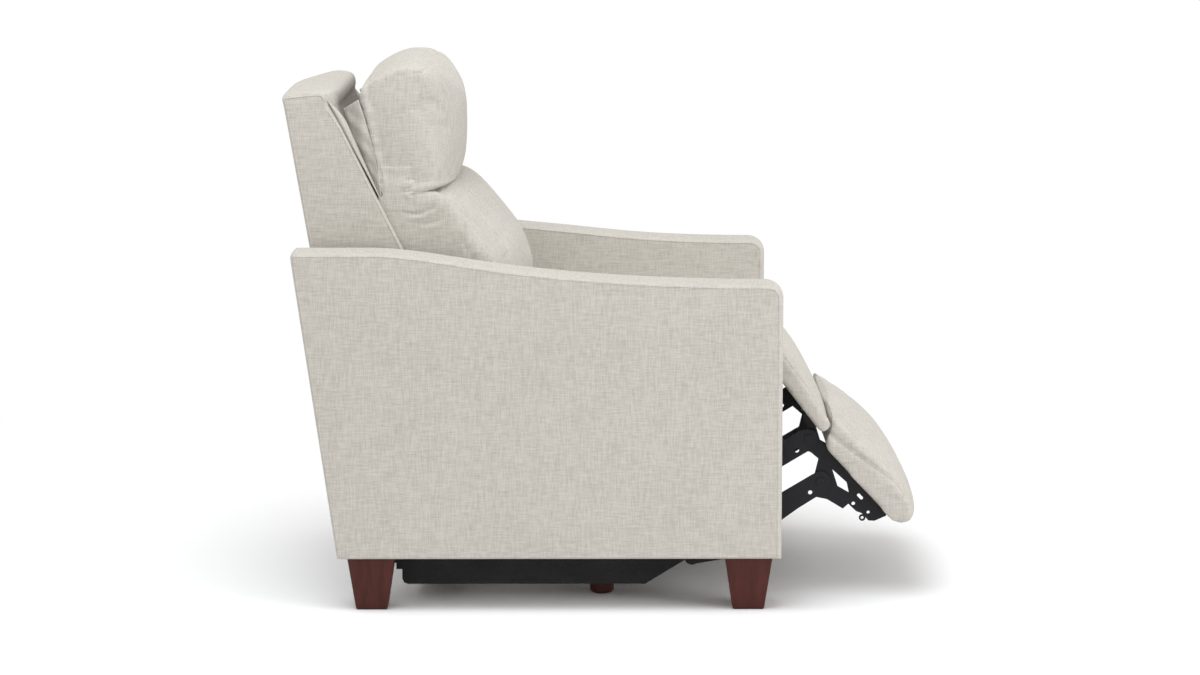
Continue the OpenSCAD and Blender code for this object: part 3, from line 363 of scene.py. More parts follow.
ARM_FRONT, ARM_FOOT = 5, -799
HIGH, LOW = 657, 599
ROUND = 24
ARM_OUTLINE = np.vstack([
    even_points([[ARM_FOOT, LEG_HIGH], [-877, HIGH - 8]], 60)[:-1],
    arc([-870, HIGH - 7], 7, 172, 90, 5)[:-1],
    even_points([[-867, HIGH], [-740, HIGH]], 8)[:-1],
    bezier([-740, HIGH], [-600, HIGH], [-500, LOW + 3], [ARM_FRONT - ROUND, LOW], 70)[:-1],
    arc([ARM_FRONT - ROUND, LOW - ROUND], ROUND, 90, 1, 10),
    even_points([[ARM_FRONT, LOW - ROUND], [ARM_FRONT, LEG_HIGH]], 50)[1:-1],
    even_points([[ARM_FRONT, LEG_HIGH], [ARM_FOOT, LEG_HIGH]], 60)[:-1],
])


def shape_arm(grid):
    """Bulge the front by 4 (1 - u^6) mm over its width u, and fill the left arm's top by 6 mm.

    The filling of the left arm is a bell curve along its top.
    """
    x, y, z = (grid[..., k] / MM for k in range(3))
    x = x - FRONT_X
    u = np.clip((2 * np.abs(y) - ARM_INNER - ARM_OUTER) / (ARM_OUTER - ARM_INNER), -1, 1)
    x = x + 4 * np.clip((x + 30) / 30, 0, 1) ** 2 * (1 - u**6)
    fuller = 6 * np.exp(-(((x + 400) / 150) ** 2)) * np.clip((z - 560) / 40, 0, 1)
    return place(x, y, z + np.where(y > 0, fuller, 0))


for side, name in SIDES:
    rows = slab_profile(ARM_INNER, ARM_OUTER, crown_low=0.8, crown_high=3.0)
    rows[1] *= side
    arm = panelled_slab(name + "_arm_cover", ARM_OUTLINE, rows, shape_arm)
    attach(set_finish(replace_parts(arm, name + "_arm"), "fabric"), "base")
    tell(arm)

# %% [markdown]
# ### The seam cords of the arms
#
# Between panel and boxing the stitching is pulled in so tightly that only a thin round edge
# of cloth shows. It is a fine cord along the inset outline.

# %% Arm seams
cords = welts(ARM_OUTLINE, shape_arm, ARM_OUTER - INSIDE, ARM_INNER + INSIDE)
for (_, name), pair in zip(SIDES, (cords[:2], cords[2:])):
    seam = many_grids(name + "_arm_seams", pair)
    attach(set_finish(seam, "fabric"), "base")
    tell(seam)

# %% [markdown]
# ### The back shell
#
# The shell is a padded board that leans back: a slab again, but wide and thin. Its top is
# lowered near the sides and bulges forwards, and its front is hollow in the middle, where
# the headrest's bracket and drive sit.

# %% Back shell
SHELL_TOP, SHELL_LOW, SHELL_FRONT, LAP, CORNER = 940, 372, -640, 571, 9
HOLLOW_HALF, HOLLOW_BACK, HOLLOW_LOW, HOLLOW_TOP = 96, -791, 545, 790


def shell_rear(z):
    """The shell's rear face leans by 9.6 degrees."""
    return -898 + (928 - z) * math.tan(math.radians(9.6))


def shell_front(z):
    """The shell's front face slopes by 26.5 degrees down to the lap."""
    return np.minimum(-811 + (914 - z) * math.tan(math.radians(26.5)), SHELL_FRONT)


SHELL_OUTLINE = np.vstack([
    even_points([[shell_rear(SHELL_LOW), SHELL_LOW], [shell_rear(914), 914]], 60)[:-1],
    smooth_curve([[shell_rear(914), 914], [-898, 926.5], [-892, 933.5], [-865, 937.5], [-838, 940],
                  [-820, 939], [-812, 931], [-810, 912]], 4, closed=False)[:-1],
    even_points([[-810, 912], [SHELL_FRONT - 0.5, LAP]], 50)[:-1],
    even_points([[SHELL_FRONT, LAP], [SHELL_FRONT, SHELL_LOW]], 24)[:-1],
    even_points([[SHELL_FRONT, SHELL_LOW], [shell_rear(SHELL_LOW), SHELL_LOW]], 30)[:-1],
])


def shape_shell(grid):
    """Round the top corners along a circle, and press the hollow into the front.

    Over its half width u, the front of the top bulges by 16 (1 - u^10) - 8 u^12 mm. The
    rear of the top falls by u^2 mm towards the right side and by 9 u mm towards the left.
    """
    x, y, z = (grid[..., k] / MM for k in range(3))
    x = x - FRONT_X
    beside = np.clip(np.abs(y) - (SHELL_HALF - CORNER), 0, CORNER)
    drop = CORNER - np.sqrt(CORNER**2 - beside**2)
    start = SHELL_TOP - 2.2 * CORNER
    lift = np.clip((z - start) / (SHELL_TOP - start), 0, 1)
    z = z - 0.8 * drop * lift
    high = np.clip((z - 870) / 50, 0, 1) * np.clip((x + 850) / 30, 0, 1)
    u = np.abs(y) / SHELL_HALF
    x = x + 16 * high * (1 - u**10) - 8 * high * u**12
    rear_top = np.clip((z - 900) / 30, 0, 1) * np.clip((-840 - x) / 50, 0, 1)
    z = z - rear_top * np.where(y > 0, 9 * u, u**2)
    hollow = np.clip((HOLLOW_HALF + 12 - np.abs(y)) / 12, 0, 1)
    hollow *= np.clip((HOLLOW_TOP - z) / 10, 0, 1) * np.clip((z - HOLLOW_LOW) / 10, 0, 1)
    front = x > shell_front(z) - 12
    x = np.where(front, x + hollow * (HOLLOW_BACK - x), x)
    return place(x, y, z)


rows = slab_profile(-SHELL_HALF, SHELL_HALF, crown_low=1.5, crown_high=1.5)
border = PANEL_ROWS + 1 + EDGE_ROWS
y = np.linspace(-SHELL_HALF + EDGE, SHELL_HALF - EDGE, 90)[1:-1]
boxing = [-2.0 * (1 - (y / SHELL_HALF) ** 4), y, np.ones(len(y))]
rows = np.hstack([rows[:, :border], boxing, rows[:, -border:]])
shell = panelled_slab("back_shell_cover", SHELL_OUTLINE, rows, shape_shell)
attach(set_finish(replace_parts(shell, "back_shell"), "fabric"), "back")
tell(shell)

# %% [markdown]
# ## Cushion forms
#
# A cushion's outline is full in the middle, and drawn in near its ends. So a cushion is a
# loft between two outlines, at the share full(t) = sqrt(1 - |t|^3.2) from the end outline
# to the middle one, where t runs from -1 to 1 across the width.

# %% Cushion loft
FULLNESS = 3.2


def outline(points):
    """A smooth outline, whose ends a straight underside joins where the form lies on a board."""
    curve = smooth_curve(points, 6, closed=False)
    base = np.linspace(curve[-1], curve[0], 24)[1:-1]
    return np.vstack([curve, base])


def loft_form(name, middle, side, half):
    """Rings of side + (middle - side) full(t), closed at both ends by a flat cap."""
    rings = 44
    t = np.sin(np.linspace(-np.pi / 2, np.pi / 2, rings))
    full = np.sqrt(1 - np.abs(t) ** FULLNESS)[:, None, None]
    ring = side[None] + (middle - side)[None] * full
    grid = place(ring[..., 0], (t * half)[:, None], ring[..., 1])
    count = grid.shape[1]
    ends = [list(range(count))[::-1], list(range((rings - 1) * count, rings * count))]
    return new_object(name, grid, grid_faces(rings, count, True).tolist() + ends)


print("a form is 99 % full at t =", round((1 - 0.99**2) ** (1 / FULLNESS), 2))

# %% [markdown]
# ## Blowing up a cushion
#
# Straight lofts look hard, while real padding pushes the cloth out until the seams hold
# it back. Blender's cloth solver does the same with air pressure. The form is remeshed
# into small even quads, started a little smaller, and blown up for twenty frames, while
# its underside and ends are held. Then each point's travel is capped, so the pad keeps to
# its place, and one subdivision makes it smooth.

# %% Plumping
VOXEL = 6.0 * MM
FRAMES = 20
PRESSURE, STRETCH, BENDING = 4.0, 12, 0.4
HOLD_LEVELS = 6


def nearest_on(path, points):
    """For each point, the distance to a path of points and where along it, from 0 to 1."""
    path = np.asarray(path, float)
    best = np.full(len(points), np.inf)
    where = np.zeros(len(points))
    for k, spot in enumerate(path):
        distance = np.linalg.norm(points - spot, axis=1)
        closer = distance < best
        best = np.where(closer, distance, best)
        where = np.where(closer, k / max(len(path) - 1, 1), where)
    return best, where


def apply_all(thing):
    """Bake the modifiers into the mesh."""
    depsgraph = bpy.context.evaluated_depsgraph_get()
    fresh = bpy.data.meshes.new_from_object(thing.evaluated_get(depsgraph))
    old = thing.data
    thing.modifiers.clear()
    thing.data = fresh
    fresh.name = old.name
    bpy.data.meshes.remove(old)


def plump(thing, held, smaller, cap, voxel=VOXEL):
    """Cloth under pressure, held where the array says 1, its travel capped, then subdivided."""
    quads = thing.modifiers.new("Remesh", "REMESH")
    quads.mode = "VOXEL"
    quads.voxel_size = voxel
    ease = thing.modifiers.new("Ease", "SMOOTH")
    ease.iterations = 8
    apply_all(thing)
    start = vertices_of(thing)
    hold = held(start)
    soft_start = start - vertices_of(thing, "normal") * (smaller * (1 - hold))[:, None]
    set_vertices(thing, soft_start)
    group = thing.vertex_groups.new(name="held")
    level = np.round(hold * HOLD_LEVELS) / HOLD_LEVELS
    for weight in np.unique(level):
        group.add(np.flatnonzero(level == weight).tolist(), float(weight), "REPLACE")
    cloth = thing.modifiers.new("Cloth", "CLOTH")
    settings = cloth.settings
    settings.use_pressure = True
    settings.uniform_pressure_force = PRESSURE
    settings.vertex_group_mass = "held"
    settings.tension_stiffness = STRETCH
    settings.compression_stiffness = STRETCH
    settings.bending_stiffness = BENDING
    settings.quality = 4
    settings.effector_weights.gravity = 0
    cloth.point_cache.frame_end = FRAMES
    for number in range(1, FRAMES + 1):
        scene.frame_set(number)
    apply_all(thing)
    scene.frame_set(1)
    moved = vertices_of(thing) - soft_start
    far = np.linalg.norm(moved, axis=1, keepdims=True)
    reach = cap * np.tanh(far / cap)
    set_vertices(thing, soft_start + moved * reach / np.maximum(far, 1e-9))
    thing.vertex_groups.clear()
    print(thing.name, "moved up to", round(float(far.max()) * 1000, 1), "mm")
    thing.modifiers.new("Subdivision", "SUBSURF").levels = 1
    apply_all(thing)
    thing.data.shade_smooth()


def press(thing, path, depth, width, taper=False, gather=0.0):
    """Move the surface inwards by depth exp(-(distance / width)^2) along a path.

    With a gather, small pleats of some 19 mm run out from the path: a product of sines
    along it that fades with the distance.
    """
    points = vertices_of(thing)
    distance, where = nearest_on(path, points)
    amount = depth * np.exp(-((distance / width) ** 2))
    if taper:
        amount = amount * np.sin(np.pi * np.clip(where, 0, 1)) ** 0.7
    if gather:
        length = np.linalg.norm(np.diff(path, axis=0), axis=1).sum()
        s = where * length
        pleat = np.sin(2 * np.pi * s / 0.019 + 1.3 * np.sin(s / 0.011)) * np.sin(s / 0.047 + 0.6)
        amount = amount + gather * pleat * np.exp(-distance / (2.6 * width))
    set_vertices(thing, points - vertices_of(thing, "normal") * amount[:, None])


def tree_of(thing):
    """A search tree over a mesh."""
    return BVHTree.FromPolygons(
        vertices_of(thing).tolist(), [list(p.vertices) for p in thing.data.polygons])


def on_surface(thing, path, lift=0.0):
    """The path's points, moved to the nearest place on a piece, and lifted off it."""
    tree = tree_of(thing)
    found = [tree.find_nearest(spot) for spot in path]
    return np.array([np.array(at) + lift * np.array(normal) for at, normal, _, _ in found])


def sew(thing, name, paths, depth=3.0 * MM, width=5.0 * MM, radius=1.0 * MM, gather=0.9 * MM):
    """Press a groove along each path and lay a fine cord of cloth in it."""
    cords = []
    for path in paths:
        path = on_surface(thing, path)
        press(thing, path, depth, width, gather=gather)
        lay = on_surface(thing, path, lift=-0.25 * radius)
        lay[1:-1] = (lay[:-2] + 2 * lay[1:-1] + lay[2:]) / 4
        cords.append(cord_along(lay, radius))
    return many_grids(name, cords)


print("voxels of", VOXEL * 1000, "mm")

# %% [markdown]
# ### Seat cushion
#
# The seat cushion fills the space between the arms. Only its front edge and its crown are
# seen. Its flat base rests on the seat frame.

# %% Seat cushion
front, rear, low, top = -50, -612, 367.5, 500
seat_middle = outline([
    [rear + 6, low], [rear, low + 50], [rear + 14, top - 26], [rear + 120, top - 10],
    [-300, top - 3], [front - 110, top], [front - 40, top - 3], [front - 8, top - 28],
    [front, top - 70], [front - 6, low + 12], [front - 24, low]])
seat_side = outline([
    [rear + 10, low], [rear + 4, low + 46], [rear + 16, top - 48], [rear + 120, top - 34],
    [-300, top - 30], [front - 110, top - 27], [front - 44, top - 30], [front - 14, top - 48],
    [front - 6, top - 78], [front - 10, low + 12], [front - 26, low]])
seat = loft_form("seat_cushion_cover", seat_middle, seat_side, SEAT_HALF - 2)


def seat_held(points):
    """Held under the cushion and round its end panels."""
    low_down = points[:, 2] < (low + 8) * MM
    ends = np.abs(points[:, 1]) > (SEAT_HALF - 16) * MM
    return np.maximum(low_down, ends).astype(float)


plump(seat, seat_held, smaller=6 * MM, cap=12 * MM, voxel=6.2 * MM)
seat_seam = sew(seat, "seat_cushion_seams", both_sides(seat_side[6:52], SEAT_HALF - 4))
for piece in (seat, seat_seam):
    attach(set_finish(piece, "fabric"), "seat")
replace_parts(seat, "seat_cushion")
tell(seat)

# %% [markdown]
# ### Footrest pad and middle pad
#
# The main pad wraps over the end of its board with a long rounded crown, and the smaller
# middle pad fills the space towards the seat as the footrest opens. Each has a top panel
# and a side band, joined by a seam on the near and the far side. The main pad ends in a lip
# that lies on the middle pad. The two pads turn a little against each other. The middle pad
# goes with its rest, and the main pad is fixed where it lies.

# %% Footrest pads
def heading(degrees):
    """The direction at an angle above the horizontal, in the side view."""
    return np.array([math.cos(math.radians(degrees)), math.sin(math.radians(degrees))])


def on_board(points, board):
    """Points measured along a tilted board and up from it, in the side view."""
    corner, along, up = board
    return corner + np.outer(points[:, 0], along) + np.outer(points[:, 1], up)


PAD_BOARD = np.array([96, 284]), heading(-47), heading(43)
MID_BOARD = np.array([84, 312]), heading(127.7), heading(37.7)
pad_middle = on_board(outline([
    [4, 0], [-9, 12], [-15, 26], [-23, 38], [-36, 45], [-50, 49], [-47, 57], [-12, 67.5], [24, 76.5],
    [96, 81], [172, 63.5], [214, 47], [232, 33], [228, 19], [208, 6], [192, 0]]), PAD_BOARD)
pad_side = on_board(outline([
    [2, -4], [-8, 5], [-13, 14], [-14, 24], [-21, 34], [-27, 42], [-18, 46], [10, 45], [50, 45],
    [96, 47], [150, 47], [184, 38], [198, 27], [203, 10], [193, -3], [181, -6]]), PAD_BOARD)
mid_middle = on_board(outline([
    [-4, 0], [-9, 16], [0, 28], [43, 36], [93, 47], [151, 49], [178, 39], [186, 14], [176, 0]
]), MID_BOARD)
mid_side = on_board(outline([
    [-2, 0], [-9, 14], [-2, 25], [43, 29], [93, 34], [151, 34], [172, 28], [180, 12], [172, 0]
]), MID_BOARD)


def board_held(board):
    """Held on the board side of a pad and at its ends."""
    corner, _, up = board

    def held(points):
        height = (points[:, 0] / MM - FRONT_X - corner[0]) * up[0]
        height = height + (points[:, 2] / MM - corner[1]) * up[1]
        ends = np.abs(points[:, 1]) > (PAD_HALF - 13) * MM
        return np.maximum(height < 7, ends).astype(float)

    return held


pad = loft_form("footrest_pad_cover", pad_middle, pad_side, PAD_HALF - 2)
plump(pad, board_held(PAD_BOARD), smaller=5 * MM, cap=10 * MM)
pad_line = line_through([[103, 309], [112, 300], [150, 272], [196, 238], [232, 212], [248, 190]], 60)
pad_seam = sew(pad, "footrest_pad_seams", both_sides(pad_line, PAD_HALF - 5))
mid = loft_form("middle_pad_cover", mid_middle, mid_side, PAD_HALF - 2)
plump(mid, board_held(MID_BOARD), smaller=4 * MM, cap=8 * MM)
mid_line = line_through([[5, 470], [15, 456], [47, 417], [84, 372], [100, 348]], 40)
mid_seam = sew(mid, "middle_pad_seams", both_sides(mid_line, PAD_HALF - 5))
lip, root = on_board(np.array([[-22, 40], [34, 40]]), PAD_BOARD)
for piece in (pad, pad_seam):
    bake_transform(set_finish(piece, "fabric"), "middle_rest", "footrest",
             start=place(lip[0], 0, lip[1]).tolist(), end=place(root[0], 0, root[1]).tolist())
for piece in (mid, mid_seam):
    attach(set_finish(piece, "fabric"), "middle_rest")
for cover, node in ((pad, "footrest_pad"), (mid, "middle_pad")):
    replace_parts(cover, node)
    tell(cover)

# %% [markdown]
# ### Back cushion
#
# The back cushion is fullest at the loin and runs up under the head pillow. Its near and
# far ends are soft panels, gathered where they are caught between pillow and shell.

# %% Back cushion
back_rear = np.array([[shell_front(744) - 6, 744], [-646, 572], [-646, 512]])


def back_outline(points):
    """A smooth front line closed by the straight rear that lies against the shell."""
    curve = smooth_curve(points, 6, closed=False)
    rear_line = even_points(np.vstack([curve[-1:], back_rear, curve[:1]]), 46)[1:-1]
    return np.vstack([curve, rear_line])


back_middle = back_outline([
    [-600, 509], [-530, 508], [-470, 515], [-446, 545], [-445, 593], [-462, 647],
    [-490, 686], [-519, 720], [-561, 768], [-612, 773], [-716, 750]])
back_side = back_outline([
    [-600, 512], [-548, 512], [-524, 520], [-514, 548], [-520, 585], [-538, 615],
    [-556, 640], [-576, 673], [-594, 703], [-624, 749], [-716, 752]])
back = loft_form("back_cushion_cover", back_middle, back_side, BACK_HALF - 2)


def back_held(points):
    """Held against the shell and at the ends."""
    x, z = points[:, 0] / MM - FRONT_X, points[:, 2] / MM
    behind = x < np.where(z > LAP, shell_front(z) + 10, SHELL_FRONT + 10)
    ends = np.abs(points[:, 1]) > (BACK_HALF - 13) * MM
    return np.maximum(behind, ends).astype(float)


plump(back, back_held, smaller=6 * MM, cap=14 * MM)
back_seam = sew(back, "back_cushion_seams",
                both_sides(even_points(back_side[4:42], 60), BACK_HALF - 5),
                depth=1.0 * MM, radius=0.5 * MM, gather=0.3 * MM)
for wrinkle, depth in (([[-620, 729], [-652, 715], [-682, 717]], 3.4 * MM),
                       ([[-608, 704], [-636, 696], [-655, 696]], 1.8 * MM)):
    line = line_through(wrinkle, 24)
    for path in both_sides(line, BACK_HALF):
        press(back, on_surface(back, path), depth, 3.4 * MM, taper=True)
    for path in both_sides(line + [3, -6], BACK_HALF):
        press(back, on_surface(back, path), -0.6 * depth, 5 * MM, taper=True)
for piece in (back, back_seam):
    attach(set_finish(piece, "fabric"), "back")
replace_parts(back, "back_cushion")
tell(back)

# %% [markdown]
# ### Head pillow
#
# The pillow is tall and full, and narrow at its foot, where it is sewn to the back cushion.
# When the headrest tilts, the foot stays on the back and the pillow bends; here it is fixed
# where it lies. Only its rear face and its foot are held in the solver, so its sides fill out.

# %% Head pillow
pillow_middle = smooth_curve([
    [-720, 754], [-735, 820], [-753, 900], [-758, 938], [-741, 965], [-703, 986],
    [-656, 1000], [-618, 994], [-591, 966], [-579, 920], [-576, 862], [-575.5, 820],
    [-576, 784], [-588, 764], [-650, 752]], 6)
pillow_side = smooth_curve([
    [-719, 748], [-735, 820], [-751, 890], [-759, 924], [-749, 951], [-721, 970],
    [-686, 983], [-656, 981], [-643, 962], [-640, 910], [-638, 858], [-634, 812],
    [-634, 780], [-642, 760], [-668, 745]], 6)
pillow = loft_form("head_pillow_cover", pillow_middle, pillow_side, BACK_HALF - 2)


def pillow_held(points):
    """Held along the rear face and at the foot."""
    x, z = points[:, 0] / MM - FRONT_X, points[:, 2] / MM
    behind = x < -722 - (z - 762) * 0.19 + 8
    return np.maximum(behind, z < 768).astype(float)


plump(pillow, pillow_held, smaller=6 * MM, cap=14 * MM)
pillow_rear = line_through([[-760, 925], [-750, 894], [-738, 850], [-728, 808], [-722, 773]], 50)
dart = smooth_curve([[-644, 257, 975], [-635, 232, 988], [-628, 190, 995], [-622, 140, 1000],
                     [-617, 90, 1001]], 8, closed=False)
darts = both_sides(dart[:, [0, 2]], dart[:, 1])
pillow_seam = sew(pillow, "head_pillow_seams", both_sides(pillow_rear, BACK_HALF - 4))
pillow_darts = sew(pillow, "head_pillow_darts", darts, 2.6 * MM, 4 * MM, 0.6 * MM, 0.5 * MM)
for piece in (pillow, pillow_seam, pillow_darts):
    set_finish(piece, "fabric")
    place(-650, 0, 752).tolist()
    place(-650, 0, 840).tolist()
    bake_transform(piece)
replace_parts(pillow, "head_pillow")
tell(pillow)

# %% [markdown]
# ### Where pillow and cushion join
#
# The pillow's side panel runs on into the back cushion's. A crease parts them only in
# front, and short folds run back from its end. So a soft bridge of cloth covers the rear
# part of the join. Rays from the side feel out its height: the outermost surface, smoothed
# over the crease, with the folds pressed in. Its borders dip just under the panels.

# %% Joins of the side panels
RAY_START, MISSED = 400, 240
STEEPEST, ROUNDS, ABOVE, BELOW = 14, 30, 0.8, 4


def feel(trees, x, z, side):
    """How far out the outermost surface lies at each point of a side view, in mm."""
    reach = []
    for spot in place(x, side * RAY_START, z).reshape(-1, 3):
        hits = [tree.ray_cast(spot.tolist(), (0, -side, 0))[0] for tree in trees]
        reach.append(max([abs(hit[1]) for hit in hits if hit is not None], default=MISSED * MM))
    return np.array(reach).reshape(x.shape) / MM


def soften(values, times):
    """Average each value with its neighbours along both directions, a few times."""
    for _ in range(times):
        padded = np.pad(values, 1, mode="edge")
        values = (padded[1:-1, 1:-1] * 2 + padded[:-2, 1:-1] + padded[2:, 1:-1]
                  + padded[1:-1, :-2] + padded[1:-1, 2:]) / 6
    return values


def thicken(thing, thickness, offset):
    """Give a sheet of cloth its thickness."""
    wall = thing.modifiers.new("Cloth_thickness", "SOLIDIFY")
    wall.thickness = thickness
    wall.offset = offset
    apply_all(thing)


v = np.linspace(0, 1, 56)[:, None]
u = np.linspace(0, 1, 56)[None]
z = 706 + 106 * v + 0 * u
rear_edge = np.interp(z, [706, 745, 773, 812], [-712, -729, -724, -731]) + 4
x = rear_edge * (1 - u) + (-646 - 4 * v) * u
inwards = np.minimum(np.minimum(v, 1 - v) * 6, np.minimum(u * 12, (1 - u) * 3.2))
mask = np.clip(inwards, 0, 1)
mask = mask * mask * (3 - 2 * mask)
flat_points = np.stack([x.ravel(), z.ravel()], 1)
creases = [
    ([[-636, 769], [-654, 763], [-682, 755]], 5.5), ([[-640, 757], [-656, 751], [-672, 752]], 4.5),
    ([[-630, 730], [-652, 716], [-684, 717]], 4.5), ([[-648, 784], [-664, 778], [-678, 776]], 2.4),
]
trees = [tree_of(pillow), tree_of(back)]
sheets = []
for side, _ in SIDES:
    felt = feel(trees, x, z, side)
    tall = np.stack([np.roll(felt, k, 0) for k in range(-5, 6)]).max(0)
    level = soften(np.minimum(tall, felt + STEEPEST), ROUNDS)
    for line, depth in creases:
        line = line_through(line, 40)
        distance, where = nearest_on(line, flat_points)
        taper = np.sin(np.pi * np.clip(where * 0.85 + 0.1, 0, 1)).reshape(x.shape)
        below, _ = nearest_on(line + [2, -6], flat_points)
        level = level - depth * taper * np.exp(-((distance.reshape(x.shape) / 3.2) ** 2))
        level = level + 0.6 * depth * taper * np.exp(-((below.reshape(x.shape) / 4.5) ** 2))
    out = (level + ABOVE) * mask + (felt - BELOW) * (1 - mask)
    sheets.append(place(x, side * out, z))
join = many_grids("panel_joins", sheets, around=False)
thicken(join, 1.2 * MM, -1)
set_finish(join, "fabric")
place(-650, 0, 752).tolist()
place(-650, 0, 840).tolist()
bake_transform(join)
tell(join)

# %% [markdown]
# ### The gusset behind the pillow
#
# Between pillow and shell hangs a triangle of loose cloth. It closes the gap when the
# headrest tilts; here it is fixed where it lies. It is a ruled surface between the pillow's
# rear seam and a line near the shell, with a few sine folds added across it.

# %% Gussets
gusset_front = line_through(
    [[-719, 746], [-722, 773], [-728, 808], [-738, 850], [-750, 894], [-760, 924]], 60)
gusset_back = line_through(
    [[-721, 746], [-734, 774], [-752, 812], [-770, 852], [-782, 884], [-789, 905]], 60)
u = np.linspace(0, 1, 24)
v = np.linspace(0, 1, 60)[:, None]
flat = gusset_front[:, None] * (1 - u[:, None]) + gusset_back[:, None] * u[:, None]
inside = 6 + 26 * u**1.4 * v**0.5
fold = 5.0 * np.sin(np.pi * (3.1 * v + 1.5 * u)) + 2.4 * np.sin(np.pi * (7.3 * v - 2 * u))
fold = fold * np.sin(np.pi * u) ** 0.8 * v**0.6
sheets = [place(flat[..., 0], side * (BACK_HALF - inside + fold), flat[..., 1]) for side, _ in SIDES]
gusset = many_grids("pillow_gussets", sheets, around=False)
thicken(gusset, 1.4 * MM, 0)
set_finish(gusset, "fabric")
place(-791, 0, 905).tolist()
place(-757.1, 0, 912.9).tolist()
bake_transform(gusset)
tell(gusset)

# %% [markdown]
# ### The shell's front bands
#
# Along the front edge of the shell, on each side, runs a narrow padded band that hides
# the staples of the side panel. It is widest in its middle and tapers to both ends.

# %% Shell bands
BAND_DEEP, BAND_SUNK, BAND_FULL = 14, 15.5, 1.15
band_rear = line_through(
    [[-817, 923], [-806, 902], [-792, 874], [-770, 832], [-746, 788], [-722, 742]], 60)
band_front = line_through(
    [[-812, 918], [-796, 901], [-782, 880], [-761, 832], [-739, 783], [-720, 742]], 60)
angle = np.linspace(0, 2 * np.pi, 20, endpoint=False)
half_gap = np.linalg.norm(band_front - band_rear, axis=1, keepdims=True) / 2
direction = (band_front - band_rear) / (2 * half_gap)
across = direction[:, None] * (half_gap * np.cos(angle) * BAND_FULL)[..., None]
profile = (band_rear + band_front)[:, None] / 2 + across
grids = [place(profile[..., 0], side * (SHELL_HALF - BAND_SUNK + BAND_DEEP * np.sin(angle)),
               profile[..., 1]) for side, _ in SIDES]
band = many_grids("shell_bands", grids)
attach(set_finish(band, "fabric"), "back")
tell(band)

# %% [markdown]
# ### Welts of the shell
#
# The shell's side panels are sewn in with a fine welt, like the arms.

# %% Shell welts
cords = welts(SHELL_OUTLINE, shape_shell, SHELL_HALF - INSIDE)
shell_seam = many_grids("back_shell_seams", cords)
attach(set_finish(shell_seam, "fabric"), "back")
tell(shell_seam)

# %% [markdown]
# ### Legs
#
# The wooden legs taper evenly and have softly sanded edges. Each is a rounded square,
# carried down while it shrinks.

# %% Legs
LEG_TOP, LEG_FOOT = 86, 57
POLE = 0.01


def rounded_square(radius):
    """Four quarter circles joined by straight sides, within 1 of the middle."""
    corner = arc([1 - radius, 1 - radius], radius, 0, 90, 5)
    quarter = np.array([[0, -1], [1, 0]])
    return np.vstack([corner @ np.linalg.matrix_power(quarter, k).T for k in range(4)])


height = np.array([0, 0, 0.8, 3, 6, 40, 70, LEG_HIGH - 0.2, LEG_HIGH - 0.2])[:, None]
half = (LEG_FOOT + (LEG_TOP - LEG_FOOT) * height / LEG_HIGH) / 2
half[:3] -= [[0], [3], [1.2]]
half[[0, -1]] = POLE
ring = half[..., None] * rounded_square(0.07)
for name, x in (("front", -50), ("rear", -738)):
    for side, hand in SIDES:
        grid = place(x + ring[..., 0], side * (ARM_INNER + ARM_OUTER) / 2 + ring[..., 1], height)
        leg = many_grids(f"{name}_{hand}_wood_leg", [grid])
        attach(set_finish(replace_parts(leg, f"{name}_{hand}_leg"), "leg_wood"), "base")
print("legs", LEG_HIGH, "mm high")

# %% [markdown]
# ## Shader arithmetic
#
# A finish is a formula of position, and formulas are easiest to read as Python. The small
# class below wraps a socket, so that adding or multiplying two of them adds a Math node.
# Any other node comes from one method that takes its type, its settings and its sockets.
# Varying values go only into colour, roughness and the bump.

# %% Sockets as numbers
class Signal:
    """An output socket that can be used in arithmetic."""

    def __init__(self, nodes, socket):
        self.nodes = nodes
        self.socket = socket

    def maths(self, operation, first, second):
        """A Math node between two signals or numbers."""
        return self.nodes.node("ShaderNodeMath", {"operation": operation}, {0: first, 1: second})

    def __add__(self, other):
        return self.maths("ADD", self, other)

    def __sub__(self, other):
        return self.maths("SUBTRACT", self, other)

    def __rsub__(self, other):
        return self.maths("SUBTRACT", other, self)

    def __mul__(self, other):
        return self.maths("MULTIPLY", self, other)

    def __truediv__(self, other):
        return self.maths("DIVIDE", self, other)

    __radd__, __rmul__ = __add__, __mul__

    def clamp(self):
        """The same, kept between 0 and 1."""
        return self.nodes.node("ShaderNodeClamp", {}, {0: self})


